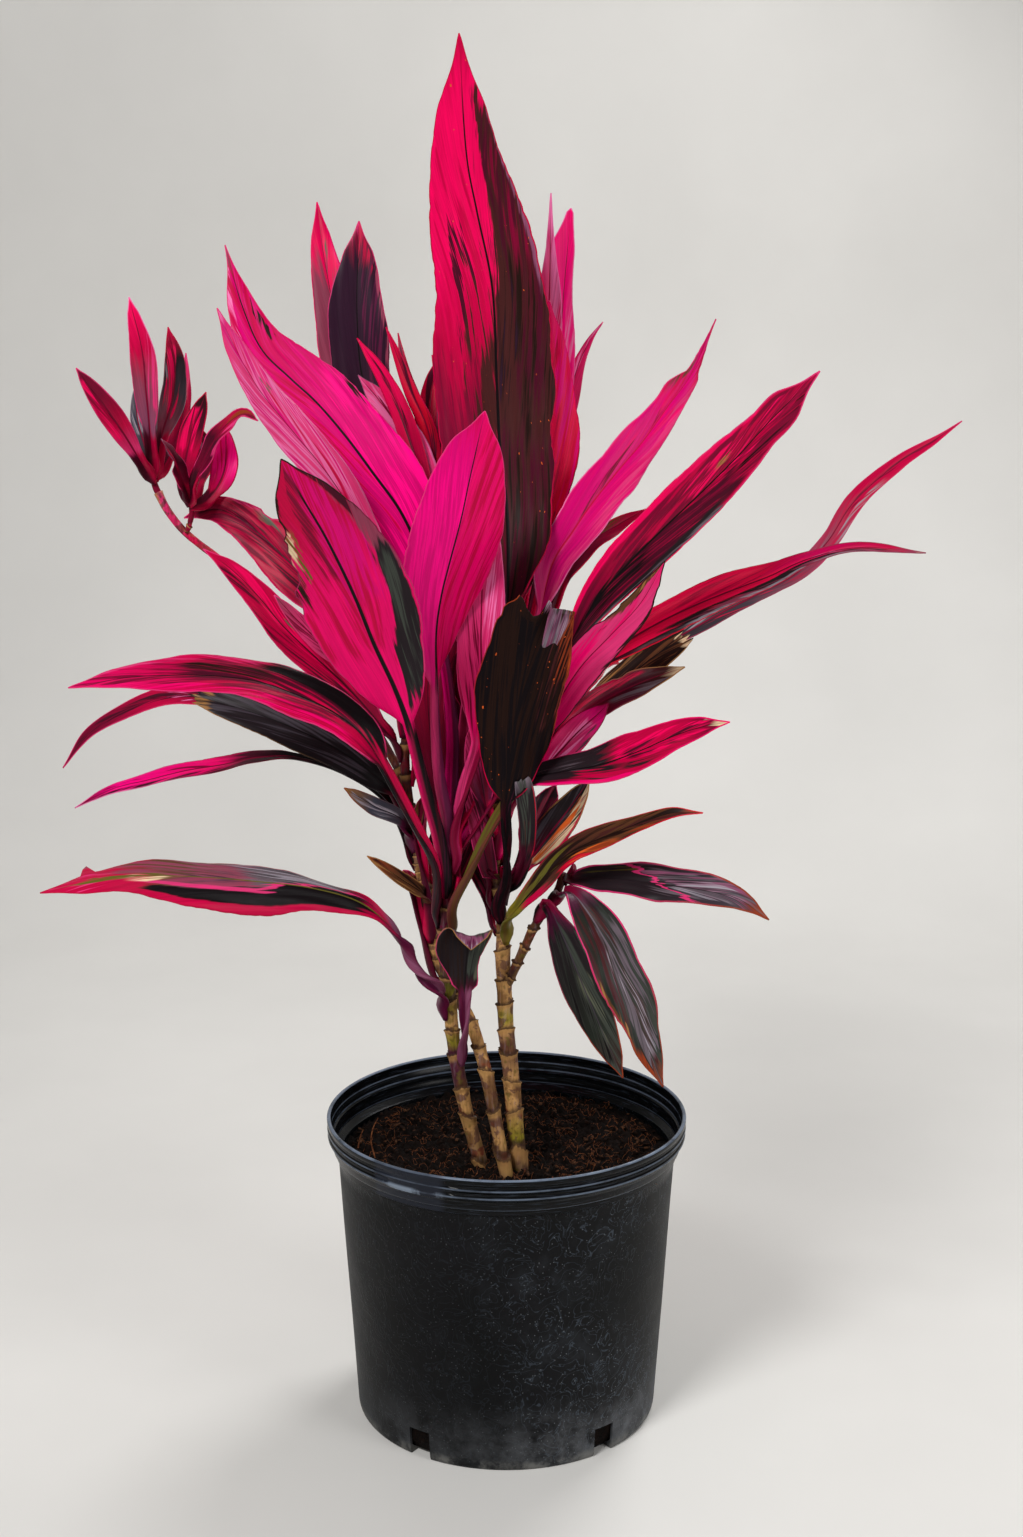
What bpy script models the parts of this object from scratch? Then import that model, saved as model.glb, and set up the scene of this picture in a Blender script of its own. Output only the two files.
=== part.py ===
"""A ti plant (Cordyline fruticosa) in its black nursery pot.

Metres, +Z up. The origin is the middle of the pot's foot, and the front of the plant looks along -Y.
Three canes stand in the soil, two of them branched. Each large leaf is a piece of its own: a channelled
stalk whose foot clasps its cane, and a folded blade with a raised midrib. The small leaves at a growing tip
are one piece with that tip.

The leaves and canes are placed by eye: each line below gives the photo column and row of its points, with
their depth behind the pot's axis in millimetres, and seen() turns those into places in the frame.
"""
import math
from dataclasses import dataclass

import bmesh
import bpy
import numpy as np
from mathutils import Vector

NAME = "ti_plant"

# The pot, a nursery pot of about 11 litres
POT_HEIGHT = 0.240
RIM_RADIUS = 0.140
BODY_TOP_RADIUS = 0.1315
FOOT_RADIUS = 0.118
WALL = 0.0024
FLOOR = 0.0030
FOOT_BEVEL = 0.012
RIM_BAND = 0.030
SLOTS = 5
SLOT_WIDTH = 0.018
SLOT_HEIGHT = 0.023
SLOT_DEPTH = 0.020
FIRST_SLOT = -33.5
POT_STEPS = 44

# The soil and the canes in it
SOIL_TOP = 0.212
SOIL_RELIEF = 0.0022
SOIL_EDGE = 0.008
CANE_DEPTH = 0.060
RING_PITCH = 0.038
RING_SWELL = 0.07
SOIL_CLEAR = 0.0008
SOCKET_RISE = 0.020
SOIL_RINGS = 6
SOIL_STEPS = 32
GAP = 0.0003
WELD = 0.00001
PIECES = 14

# The leaves
BLADE = 0.0009
STALK = 0.0027
STALK_HALF = 0.0034
CLASP_CLEAR = 0.0005
CLASP_RISE = 0.012
CLASP_LEAN = 0.0022
TIP_HALF = 0.0005
ROW_STEP = 0.028
BROAD = 45
BACK_STEP = 0.045
BACK_CURL = 1.4
STALK_FOLD = math.radians(20)
STALK_BEND = math.radians(50)
BLADE_LEAD = 0.012
BLADE_OPENS = 0.16
RIB = 0.45
LOOK_AHEAD = 0.002

# The growing tips
TIP_SEAT = 0.003
TIP_CLASP = 3.0
TIP_BARE = 0.30
TIP_STEP = 0.038

# Where the photo was taken from, for seen()
EYE = Vector((0.004, -1.50, 0.815))
EYE_PITCH = 0.199
EYE_FOCAL = 2026.0
PHOTO_CENTRE = (511.5, 768.5)

PINK = (0.55, 0.01, 0.16)
DARK = (0.05, 0.02, 0.03)
GREEN = (0.10, 0.11, 0.03)
CANE = (0.40, 0.27, 0.12)
BLACK = (0.02, 0.022, 0.025)
EARTH = (0.05, 0.03, 0.02)


def seen(column, row, depth):
    """The place that the photo shows at this column and row, depth mm behind the upright plane of the pot."""
    across = (column - PHOTO_CENTRE[0]) / EYE_FOCAL
    upward = (PHOTO_CENTRE[1] - row) / EYE_FOCAL
    ahead = math.cos(EYE_PITCH) + upward * math.sin(EYE_PITCH)
    rise = upward * math.cos(EYE_PITCH) - math.sin(EYE_PITCH)
    y = depth / 1000
    reach = (y - EYE.y) / ahead
    return Vector((EYE.x + across * reach, y, EYE.z + rise * reach))


# Each cane, from the soil up: photo column and row, depth in mm, radius in mm
CANES = {
    "cane_left": (
        (480, 1160, -35, 5.4), (464, 1102, -38, 5.3), (453, 1036, -42, 5.2), (449, 995, -45, 5.2),
        (444, 930, -48, 5.0), (448, 885, -50, 4.4), (450, 838, -50, 3.4),
    ),
    "cane_middle": (
        (505, 1168, -52, 4.9), (494, 1112, -49, 5.0), (484, 1064, -44, 4.9), (470, 1020, -37, 4.7),
        (450, 985, -30, 4.5), (434, 950, -26, 4.4), (432, 900, -22, 4.2), (422, 878, -20, 4.1),
        (417, 845, -17, 4.0), (408, 795, -10, 3.9), (405, 745, -3, 3.7), (414, 690, 4, 3.5),
        (428, 640, 10, 3.3), (436, 600, 14, 3.1),
    ),
    "cane_right": (
        (519, 1163, -40, 6.4), (514, 1110, -40, 6.3), (510, 1064, -39, 6.2), (506, 1025, -38, 6.0),
        (503, 954, -36, 5.6), (503, 932, -35, 5.0), (497, 880, -32, 3.7), (495, 827, -30, 3.6),
        (497, 790, -28, 3.6), (500, 755, -26, 3.4), (501, 715, -24, 3.0),
    ),
}

# Branches, from inside their cane outward
BRANCHES = {
    "branch_right": (
        (507, 985, -37, 3.6), (513, 973, -43, 3.6), (523, 951, -50, 3.5), (534, 927, -58, 3.4),
        (543, 913, -62, 3.3), (557, 893, -66, 3.2), (564, 872, -68, 3.0),
    ),
    "branch_far_left": (
        (408, 797, -10, 3.4), (396, 765, 4, 3.4), (360, 710, 20, 3.3), (320, 665, 30, 3.2),
        (285, 630, 38, 3.2), (250, 590, 46, 3.1), (219, 559, 52, 3.1), (199, 544, 56, 3.0),
        (183, 530, 58, 2.9), (167, 509, 60, 2.8), (158, 492, 61, 2.6),
    ),
    "shoot_far_left": ((186, 533, 58, 2.3), (189, 527, 54, 2.3), (191, 518, 51, 2.1)),
}
BRANCH_OF = {"branch_right": "cane_right", "branch_far_left": "cane_middle", "shoot_far_left": "cane_middle"}


@dataclass
class Leaf:
    """One leaf. line runs along its midrib from the stalk to the tip, and the blade starts at point stalk."""
    name: str
    stem: str
    foot: tuple  # height of its foot in mm, and the side of the stem it grows from: 0 front, 90 right
    line: tuple  # photo column, photo row, depth in mm
    stalk: int
    wide: float  # greatest width in mm
    face: tuple = ((0, 15), (0, 15))  # where its upper side looks, at the blade's start and at its tip
    fold: float = 16  # how far each half rises from the midrib, in degrees
    droop: float = -14  # how far each half bends on from there to its edge, in degrees
    wave: float = 1.2  # height of the edge's waves in mm
    waves: float = 2.5
    peak: float = 0.42  # where the blade is widest
    full: float = 0.85  # under 1 keeps the blade broad towards its ends
    torn: float = 0.0  # share of the blade's length that is torn away at the tip
    left: float = 1.0  # share of each half's width that is there
    right: float = 1.0
    clasp: float = 3.8  # half the width of its foot in mm
    colour: tuple = PINK


LEAVES = (
    Leaf("leaf_tall_spear", "cane_right", foot=(544, -58), stalk=3, wide=90, face=((0, 10), (0, 10)),
         fold=10, droop=-10, wave=1.6, peak=0.42, full=0.9, left=1.02, right=0.93, clasp=3.3,
         line=((499, 692, -37), (502, 655, -35), (506, 618, -29), (508, 580, -18), (507, 510, 4),
               (500, 449, 14), (497, 388, 20), (492, 286, 22), (477, 212, 18), (467, 159, 10),
               (459, 33, -14))),
    Leaf("leaf_tall_crimson", "cane_right", foot=(540, 30), stalk=3, wide=52, face=((20, 5), (20, 10)),
         fold=12, peak=0.5, clasp=3.3,
         line=((511, 690, -36), (516, 640, -28), (519, 600, -12), (525, 540, 12), (538, 470, 36),
               (546, 400, 52), (549, 300, 66))),
    Leaf("leaf_right_magenta", "cane_right", foot=(514, 126), stalk=3, wide=34, face=((10, 25), (30, 10)),
         fold=10, wave=1.6, peak=0.34, full=1.1, clasp=3.5,
         line=((524, 716, -20), (531, 664, -16), (541, 608, -8), (553, 562, 0), (571, 534, 6),
               (590, 506, 14), (616, 473, 26), (643, 441, 40), (668, 406, 54), (690, 376, 66),
               (716, 319, 80))),
    Leaf("leaf_right_crimson", "cane_right", foot=(512, 32), stalk=4, wide=38, face=((0, 25), (0, 15)),
         fold=14, wave=1.6, peak=0.45, full=0.8,
         line=((517, 745, -34), (532, 715, -38), (550, 678, -42), (570, 645, -46), (597, 600, -52),
               (630, 562, -62), (660, 532, -74), (706, 488, -92), (738, 456, -106), (768, 423, -120),
               (798, 393, -130), (820, 371, -136))),
    Leaf("leaf_right_dry_tip", "cane_left", foot=(414, 112), stalk=5, wide=28, face=((0, 15), (0, 15)),
         fold=12, wave=1.0,
         line=((460, 856, -42), (477, 824, -43), (499, 788, -45), (517, 768, -47), (535, 742, -50),
               (552, 712, -54), (580, 668, -62), (610, 636, -72), (640, 604, -84), (665, 561, -98))),
    Leaf("leaf_right_long_red", "cane_right", foot=(488, 88), stalk=4, wide=30, face=((0, 42), (0, 48)),
         fold=12, wave=1.2, peak=0.36,
         line=((524, 766, -24), (545, 733, -22), (567, 700, -20), (588, 673, -18), (622, 645, -17),
               (657, 624, -17), (694, 606, -19), (731, 591, -23), (768, 577, -29), (806, 560, -37),
               (855, 548, -48), (926, 553, -66))),
    Leaf("leaf_far_right_slim", "cane_right", foot=(492, -174), stalk=4, wide=18, face=((0, 30), (0, 10)),
         fold=14, wave=0.8, waves=3,
         line=((520, 762, -2), (555, 725, 14), (605, 688, 36), (655, 652, 56), (710, 619, 76),
               (758, 594, 92), (797, 573, 106), (828, 541, 118), (853, 503, 128), (898, 463, 140),
               (935, 440, 148), (962, 421, 154))),
    Leaf("leaf_right_brown", "cane_right", foot=(470, -165), stalk=3, wide=27, face=((0, 40), (0, 30)),
         fold=10, torn=0.12, colour=DARK,
         line=((522, 775, -8), (555, 738, -2), (590, 706, 4), (622, 682, 12), (655, 656, 20),
               (690, 633, 30))),
    Leaf("leaf_right_maroon", "cane_right", foot=(462, 112), stalk=3, wide=24, face=((0, 45), (0, 35)),
         fold=12, colour=DARK,
         line=((524, 786, -23), (544, 754, -25), (563, 729, -27), (600, 703, -29), (640, 683, -32),
               (685, 667, -38))),
    Leaf("leaf_right_short_pink", "cane_right", foot=(450, 32), stalk=3, wide=22, face=((0, 20), (0, 20)),
         fold=10,
         line=((513, 808, -40), (530, 784, -41), (547, 766, -41), (563, 748, -42), (581, 729, -42),
               (600, 712, -42), (609, 703, -42))),
    Leaf("leaf_right_twisted", "cane_left", foot=(392, 62), stalk=5, wide=32, face=((0, 55), (0, 20)),
         fold=14, wave=1.6,
         line=((456, 906, -60), (471, 875, -57), (488, 838, -54), (506, 806, -54), (519, 789, -54),
               (534, 778, -57), (562, 772, -68), (600, 765, -84), (640, 751, -102), (674, 736, -116),
               (702, 727, -128), (730, 722, -140))),
    Leaf("leaf_behind_brown", "cane_right", foot=(544, 120), stalk=4, wide=15, face=((0, 30), (0, 30)),
         fold=12, clasp=3.3, colour=DARK,
         line=((520, 696, -10), (540, 654, -3), (553, 614, 8), (566, 578, 22), (590, 543, 42),
               (618, 525, 54), (646, 509, 62))),
    Leaf("leaf_behind_front_pink", "cane_left", foot=(444, 62), stalk=3, wide=34, face=((0, 10), (0, 10)),
         fold=8, wave=0.8, clasp=3.6,
         line=((457, 836, -56), (466, 789, -58), (478, 742, -60), (482, 690, -60), (481, 640, -59),
               (482, 590, -57), (484, 530, -54), (487, 470, -50))),
    Leaf("leaf_torn_dark", "cane_right", foot=(402, -12), stalk=3, wide=64, face=((0, -8), (0, -8)),
         fold=-8, wave=1.2, peak=0.42, full=0.9, torn=0.2, colour=DARK,
         line=((504, 880, -50), (505, 840, -62), (506, 800, -70), (510, 770, -76), (515, 726, -86),
               (521, 692, -95), (529, 654, -105), (537, 623, -113), (549, 592, -121))),
    Leaf("leaf_strap_dark", "cane_right", foot=(414, 94), stalk=2, wide=13, face=((10, 0), (10, 0)),
         fold=6, wave=0, full=0.5, torn=0.3, colour=DARK,
         line=((519, 880, -46), (526, 852, -57), (528, 825, -66), (526, 800, -72), (522, 776, -75))),
    Leaf("leaf_cream_margin", "cane_right", foot=(436, 78), stalk=2, wide=24, face=((0, 10), (0, 10)),
         fold=10, wave=0.8, colour=DARK,
         line=((513, 876, -36), (528, 862, -38), (548, 836, -42), (568, 810, -46), (590, 779, -52))),
    Leaf("leaf_rust_low", "cane_right", foot=(386, 25), stalk=2, wide=19, face=((0, 35), (0, 45)),
         fold=14, wave=1.0, colour=GREEN,
         line=((509, 922, -52), (521, 905, -62), (537, 886, -74), (556, 864, -86), (575, 850, -96),
               (592, 842, -104), (619, 831, -116), (647, 821, -128), (674, 813, -138), (703, 813, -146))),
    Leaf("leaf_low_right_dark", "branch_right", foot=(440, 95), stalk=1, wide=30, face=((0, 50), (0, 35)),
         fold=16, wave=1.8, waves=3, colour=DARK,
         line=((570, 880, -74), (592, 879, -80), (619, 879, -90), (658, 884, -106), (700, 890, -122),
               (738, 899, -134), (769, 920, -148))),
    Leaf("leaf_drooping_broad", "branch_right", foot=(422, 12), stalk=2, wide=35,
         face=((10, 35), (15, 10)), fold=14, wave=1.8, waves=3, colour=DARK,
         line=((562, 896, -86), (571, 893, -100), (586, 910, -114), (606, 943, -128), (620, 977, -137),
               (633, 1005, -142), (643, 1035, -147), (663, 1087, -152))),
    Leaf("leaf_drooping_slim", "branch_right", foot=(410, -35), stalk=2, wide=30,
         face=((-10, 30), (-10, 10)), fold=14, wave=1.4, colour=DARK,
         line=((547, 903, -82), (553, 914, -94), (565, 941, -96), (582, 983, -102), (601, 1028, -108),
               (623, 1078, -114))),
    Leaf("leaf_curled_low", "cane_left", foot=(292, 50), stalk=2, wide=46, face=((0, -20), (0, -60)),
         fold=-14, droop=-10, wave=0, peak=0.4, full=0.6, colour=DARK,
         line=((467, 1030, -58), (465, 990, -66), (466, 966, -69), (468, 947, -74), (470, 937, -82),
               (471, 938, -91), (471, 950, -97))),
    Leaf("leaf_low_left_arching", "cane_left", foot=(330, -50), stalk=4, wide=46, face=((0, 52), (0, 46)),
         fold=-20, droop=-10, wave=1.8, waves=3, peak=0.5, full=1.0, colour=DARK,
         line=((441, 998, -58), (420, 968, -76), (398, 940, -90), (383, 921, -100), (357, 901, -112),
               (312, 888, -128), (262, 882, -144), (200, 877, -162), (130, 876, -182), (88, 882, -194),
               (40, 893, -206))),
    Leaf("leaf_left_arching", "cane_left", foot=(402, -72), stalk=4, wide=43, face=((0, 52), (0, 58)),
         fold=12, droop=-16, wave=1.4, peak=0.4, full=0.75,
         line=((433, 868, -68), (416, 832, -74), (400, 800, -78), (380, 762, -82), (360, 733, -85),
               (331, 711, -89), (294, 694, -94), (258, 682, -101), (210, 676, -112), (137, 677, -131),
               (68, 688, -150))),
    Leaf("leaf_left_broad", "cane_left", foot=(426, -20), stalk=4, wide=76, face=((180, 5), (180, 10)),
         fold=10, droop=-8, wave=1.4, peak=0.46, full=0.8,
         line=((438, 842, -66), (427, 800, -76), (417, 760, -86), (408, 724, -96), (395, 689, -104),
               (374, 644, -120), (354, 595, -138), (325, 536, -160), (303, 499, -174), (281, 459, -188))),
    Leaf("leaf_front_pink", "cane_left", foot=(454, -28), stalk=4, wide=67, face=((225, 0), (180, 5)),
         fold=8, droop=-8, wave=1.0, peak=0.5, full=0.8, clasp=3.6,
         line=((446, 824, -58), (440, 784, -62), (437, 735, -66), (436, 685, -70), (436, 631, -76),
               (441, 596, -81), (449, 564, -86), (461, 519, -93), (469, 482, -98), (485, 411, -106))),
    Leaf("leaf_upper_left_magenta", "cane_left", foot=(457, 176), stalk=4, wide=62,
         face=((0, 10), (0, 15)), fold=10, wave=1.2, peak=0.4, full=1.2, clasp=3.6,
         line=((451, 800, -40), (453, 740, -32), (447, 676, -24), (436, 618, -20), (424, 566, -15),
               (402, 514, -10), (373, 473, -4), (347, 438, 4), (317, 403, 14), (291, 379, 24),
               (262, 350, 34), (243, 308, 44), (225, 245, 58))),
    Leaf("leaf_striped_pink", "cane_middle", foot=(584, -58), stalk=2, wide=31, face=((25, 15), (25, 15)),
         fold=14, wave=1.0,
         line=((406, 608, -14), (384, 562, -30), (358, 520, -38), (326, 472, -42), (289, 427, -50),
               (260, 391, -56), (235, 348, -62), (217, 308, -66))),
    Leaf("leaf_top_left_dusty", "cane_middle", foot=(590, -160), stalk=2, wide=34,
         face=((0, 10), (0, 10)), fold=12, wave=1.2,
         line=((400, 552, 46), (390, 480, 50), (366, 425, 62), (347, 375, 72), (334, 310, 82),
               (323, 250, 90), (317, 202, 98))),
    Leaf("leaf_top_left_dark", "cane_middle", foot=(616, 140), stalk=2, wide=44, face=((0, 10), (0, 10)),
         fold=12, wave=1.0, peak=0.52, colour=DARK,
         line=((416, 553, 33), (402, 480, 30), (378, 425, 36), (362, 375, 42), (357, 310, 46),
               (358, 260, 50), (359, 221, 54))),
    Leaf("leaf_left_dark", "cane_middle", foot=(484, -58), stalk=1, wide=31, face=((0, 20), (0, 40)),
         fold=12, wave=1.2, torn=0.1, colour=DARK,
         line=((392, 790, -22), (372, 773, -26), (340, 751, -26), (300, 731, -24), (260, 715, -20),
               (225, 704, -16), (186, 694, -10))),
    Leaf("leaf_left_red_strip", "cane_middle", foot=(466, -112), stalk=2, wide=17,
         face=((0, 40), (0, 30)), fold=14, wave=0.8,
         line=((379, 774, -8), (337, 738, 14), (290, 716, 34), (240, 702, 50), (193, 695, 64),
               (161, 698, 74), (125, 711, 82), (89, 733, 88), (63, 768, 92))),
    Leaf("leaf_left_thin_pink", "cane_middle", foot=(438, -125), stalk=3, wide=17,
         face=((0, 55), (0, 45)), fold=16, wave=0.8,
         line=((388, 804, -2), (345, 773, 18), (296, 758, 40), (256, 758, 58), (222, 765, 74),
               (185, 771, 90), (149, 780, 106), (113, 789, 120), (75, 808, 132))),
    Leaf("leaf_left_small_grey", "cane_middle", foot=(452, -48), stalk=1, wide=13,
         face=((0, 30), (0, 30)), fold=10, wave=0.5, colour=DARK,
         line=((402, 820, -32), (374, 806, -44), (344, 788, -56))),
    Leaf("leaf_sheath_brown", "cane_middle", foot=(404, -35), stalk=1, wide=10, face=((0, 40), (0, 40)),
         fold=20, wave=0, colour=GREEN,
         line=((421, 893, -36), (398, 877, -44), (367, 856, -52))),
    Leaf("leaf_far_left_folded", "cane_middle", foot=(552, -100), stalk=2, wide=39,
         face=((0, 15), (0, 15)), fold=14, wave=1.6, peak=0.32,
         line=((370, 680, 10), (334, 614, 22), (308, 582, 30), (283, 556, 38), (262, 536, 46),
               (240, 519, 53), (215, 509, 60), (184, 518, 68))),
    Leaf("leaf_left_crimson", "cane_middle", foot=(518, -70), stalk=1, wide=27, face=((0, 20), (0, 20)),
         fold=14, wave=1.0,
         line=((378, 722, -10), (345, 685, -12), (313, 655, -14), (282, 625, -16), (258, 596, -18),
               (232, 570, -20), (203, 549, -22))),
    Leaf("leaf_left_dusty_small", "cane_middle", foot=(536, -40), stalk=2, wide=14,
         face=((0, 20), (0, 20)), fold=12, wave=0.6,
         line=((388, 700, -16), (354, 668, -26), (329, 650, -34), (300, 623, -42), (274, 595, -50))),
)


@dataclass
class Tip:
    """A growing tip: a stub that carries on from its stem's end, and the small leaves that grow from it.

    The stub's points give photo column and row, depth in mm and radius in mm. Each small leaf is its midrib,
    its greatest width in mm, and where its upper side looks.
    """
    name: str
    stem: str
    stub: tuple
    blades: tuple
    colour: tuple = PINK


TIPS = (
    Tip("tip_right", "cane_right", (
        (502, 695, -22, 2.7), (505, 672, -18, 2.0), (508, 650, -14, 1.0),
    ), (
        (((503, 702, -21), (520, 620, 14), (534, 520, 54), (543, 400, 84), (549, 300, 98),
          (551, 193, 108)), 25, (0, 10)),
        (((503, 704, -21), (526, 630, 24), (546, 520, 80), (557, 400, 112), (563, 300, 126),
          (571, 208, 138)), 24, (20, 10)),
        (((504, 706, -22), (534, 620, 34), (558, 470, 104), (575, 375, 142), (590, 340, 156),
          (603, 322, 166)), 14, (10, 20)),
        (((503, 705, -21), (508, 640, -4), (517, 583, 18), (528, 550, 30), (541, 525, 37),
          (560, 515, 42)), 12, (0, 20)),
    )),
    Tip("tip_left", "cane_middle", (
        (438, 580, 16, 2.7), (440, 560, 18, 2.0), (441, 540, 19, 1.0),
    ), (
        (((437, 588, 14), (424, 490, 12), (405, 424, 12), (384, 378, 14), (357, 338, 18)), 15, (0, 10)),
        (((437, 586, 15), (430, 500, 16), (412, 450, 18), (385, 408, 20), (358, 375, 22)), 25, (0, 10)),
        (((437, 592, 15), (436, 480, 22), (428, 430, 24), (410, 390, 22), (395, 350, 22),
          (386, 327, 24)), 11, (0, 10)),
        (((437, 588, 16), (434, 470, 30), (419, 410, 38), (405, 369, 44), (398, 333, 50)), 9, (0, 10)),
        (((438, 586, 17), (440, 480, 48), (430, 420, 64), (434, 380, 76), (450, 345, 88)), 18, (0, 10)),
        (((438, 584, 17), (441, 470, 40), (442, 400, 48), (432, 355, 54)), 11, (0, 10)),
    )),
    Tip("tip_far_left_upper", "branch_far_left", (
        (153, 478, 61, 2.3), (151, 464, 61, 1.7), (150, 452, 61, 1.0),
    ), (
        (((154, 480, 60), (151, 440, 54), (146, 390, 46), (142, 350, 42), (129, 297, 38)), 19, (0, 5)),
        (((155, 482, 61), (160, 440, 66), (172, 400, 72), (175, 365, 76), (168, 327, 82)), 19, (30, 5)),
        (((155, 484, 60), (140, 460, 44), (120, 428, 28), (98, 397, 14), (76, 368, 2)), 17, (0, 15)),
        (((154, 479, 63), (146, 450, 82), (137, 415, 98), (137, 382, 108)), 10, (0, 10)),
        (((155, 481, 62), (170, 455, 84), (184, 410, 106), (186, 353, 124)), 9, (0, 10)),
        (((155, 483, 63), (162, 460, 90), (160, 430, 124), (148, 412, 150)), 16, (0, 40)),
    )),
    Tip("tip_far_left_lower", "shoot_far_left", (
        (191, 505, 50, 1.8), (190, 494, 49, 1.0),
    ), (
        (((190, 507, 49), (184, 480, 42), (190, 440, 36), (206, 392, 30)), 17, (0, 5)),
        (((191, 508, 49), (200, 470, 24), (222, 430, 4), (244, 414, -8), (258, 421, -18)), 15, (0, 40)),
        (((191, 509, 50), (208, 500, 56), (224, 472, 62), (226, 426, 66)), 19, (0, 10)),
        (((190, 504, 49), (184, 485, 32), (174, 458, 10), (161, 439, -8)), 12, (0, 40)),
        (((191, 507, 51), (200, 480, 74), (205, 450, 98), (194, 425, 120)), 15, (0, 40)),
    )),
)


@dataclass
class BackLeaf(Leaf):
    """A leaf at the back, out of the photo's sight. It leaves its stem at an angle and bends on outward."""
    line: tuple = ()
    stalk: int = 1
    wide: float = 50
    long: tuple = (0.06, 0.28)  # length of the stalk and of the blade
    way: float = 180  # azimuth that it leans towards
    lean: float = 20  # degrees from upright at the foot
    bow: float = 70  # degrees that it bends on from there to the tip
    wave: float = 1.6


BACK_LEAVES = (
    BackLeaf("leaf_back_upper", "cane_right", foot=(538, -150), wide=56, clasp=3.3, long=(0.08, 0.29),
         way=176, lean=40, bow=46),
    BackLeaf("leaf_back_left", "cane_right", foot=(510, -144), wide=50, clasp=3.5, long=(0.08, 0.27),
         way=-150, lean=34, bow=70),
    BackLeaf("leaf_back_right", "cane_right", foot=(442, 166), wide=48, long=(0.07, 0.25), way=158,
         lean=36, bow=80),
    BackLeaf("leaf_back_high_left", "cane_middle", foot=(566, 156), wide=54, long=(0.06, 0.28), way=176,
         lean=32, bow=58),
    BackLeaf("leaf_back_middle", "cane_middle", foot=(532, 168), wide=54, long=(0.08, 0.28), way=-155,
         lean=30, bow=80),
    BackLeaf("leaf_back_low", "cane_middle", foot=(418, 165), wide=46, long=(0.06, 0.26), way=165,
         lean=44, bow=92),
)


def material(name, colour, roughness):
    """A plain surface of one colour."""
    made = bpy.data.materials.new(name)
    made.use_nodes = True
    shader = made.node_tree.nodes["Principled BSDF"]
    shader.inputs["Base Color"].default_value = (*colour, 1)
    shader.inputs["Roughness"].default_value = roughness
    shader.inputs["Metallic"].default_value = 0.0
    return made


def put(name, data, group, colour, roughness=0.5):
    """A new object in the group, with a material of its own."""
    made = bpy.data.objects.new(name, data)
    group.objects.link(made)
    made.data.materials.append(material(name, colour, roughness))
    return made


def hide(cutter):
    """Marks a cutter, which isn't part of the plant."""
    cutter.hide_render = True
    cutter.display_type = "WIRE"
    return cutter


def new_group(name):
    group = bpy.data.collections.new(name)
    bpy.context.scene.collection.children.link(group)
    return group


def evaluated_mesh(made):
    """The mesh that an object's curve or modifiers make."""
    return bpy.data.meshes.new_from_object(made.evaluated_get(bpy.context.evaluated_depsgraph_get()))


def smooth(points):
    """A smooth line through the points, with PIECES short steps from each to the next."""
    places = [np.array(p, float) for p in points]
    places = [2 * places[0] - places[1], *places, 2 * places[-1] - places[-2]]
    line = [places[1]]
    for before, start, end, after in zip(places, places[1:], places[2:], places[3:]):
        t0 = 0.0
        t1 = t0 + math.sqrt(np.linalg.norm(start - before))
        t2 = t1 + math.sqrt(np.linalg.norm(end - start))
        t3 = t2 + math.sqrt(np.linalg.norm(after - end))
        for t in np.linspace(t1, t2, PIECES + 1)[1:]:
            a1 = ((t1 - t) * before + (t - t0) * start) / (t1 - t0)
            a2 = ((t2 - t) * start + (t - t1) * end) / (t2 - t1)
            a3 = ((t3 - t) * end + (t - t2) * after) / (t3 - t2)
            b1 = ((t2 - t) * a1 + (t - t0) * a2) / (t2 - t0)
            b2 = ((t3 - t) * a2 + (t - t1) * a3) / (t3 - t1)
            line.append(((t2 - t) * b1 + (t - t1) * b2) / (t2 - t1))
    return np.array(line)


def lengths(line):
    """How far along the line each of its points lies."""
    return np.concatenate([[0], np.cumsum(np.linalg.norm(np.diff(line, axis=0), axis=1))])


def read(line, along, at):
    """The line's places at these lengths."""
    return np.stack([np.interp(at, along, line[:, k]) for k in range(3)], axis=-1)


def unit(vectors):
    return vectors / np.linalg.norm(vectors, axis=-1, keepdims=True)


def eased(x, low, high):
    """0 below low, 1 above high, and a smooth rise between."""
    t = np.clip((np.asarray(x, float) - low) / (high - low), 0, 1)
    return t * t * (3 - 2 * t)


def toward(azimuth, height):
    """The way that looks out at this azimuth, 0 to the front and 90 to the right, this many degrees up."""
    a, h = math.radians(azimuth), math.radians(height)
    return np.array((math.sin(a) * math.cos(h), -math.cos(a) * math.cos(h), math.sin(h)))


def tube(name, line, radii, group, colour, roughness=0.6):
    """A round stem along the line, with closed ends, as a mesh."""
    curve = bpy.data.curves.new(name, "CURVE")
    curve.dimensions = "3D"
    curve.bevel_depth = 1.0
    curve.bevel_resolution = 2
    curve.use_fill_caps = True
    spline = curve.splines.new("POLY")
    spline.points.add(len(line) - 1)
    for point, place, radius in zip(spline.points, line, radii):
        point.co = (*place, 1)
        point.radius = radius
    guide = bpy.data.objects.new(name + "_guide", curve)
    group.objects.link(guide)
    shape = evaluated_mesh(guide)
    bpy.data.objects.remove(guide)
    shell = bmesh.new()
    shell.from_mesh(shape)
    bmesh.ops.remove_doubles(shell, verts=shell.verts, dist=WELD)
    bmesh.ops.recalc_face_normals(shell, faces=shell.faces)
    shell.to_mesh(shape)
    shell.free()
    shape.materials.clear()
    shape.shade_smooth()
    return put(name, shape, group, colour, roughness)


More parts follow.
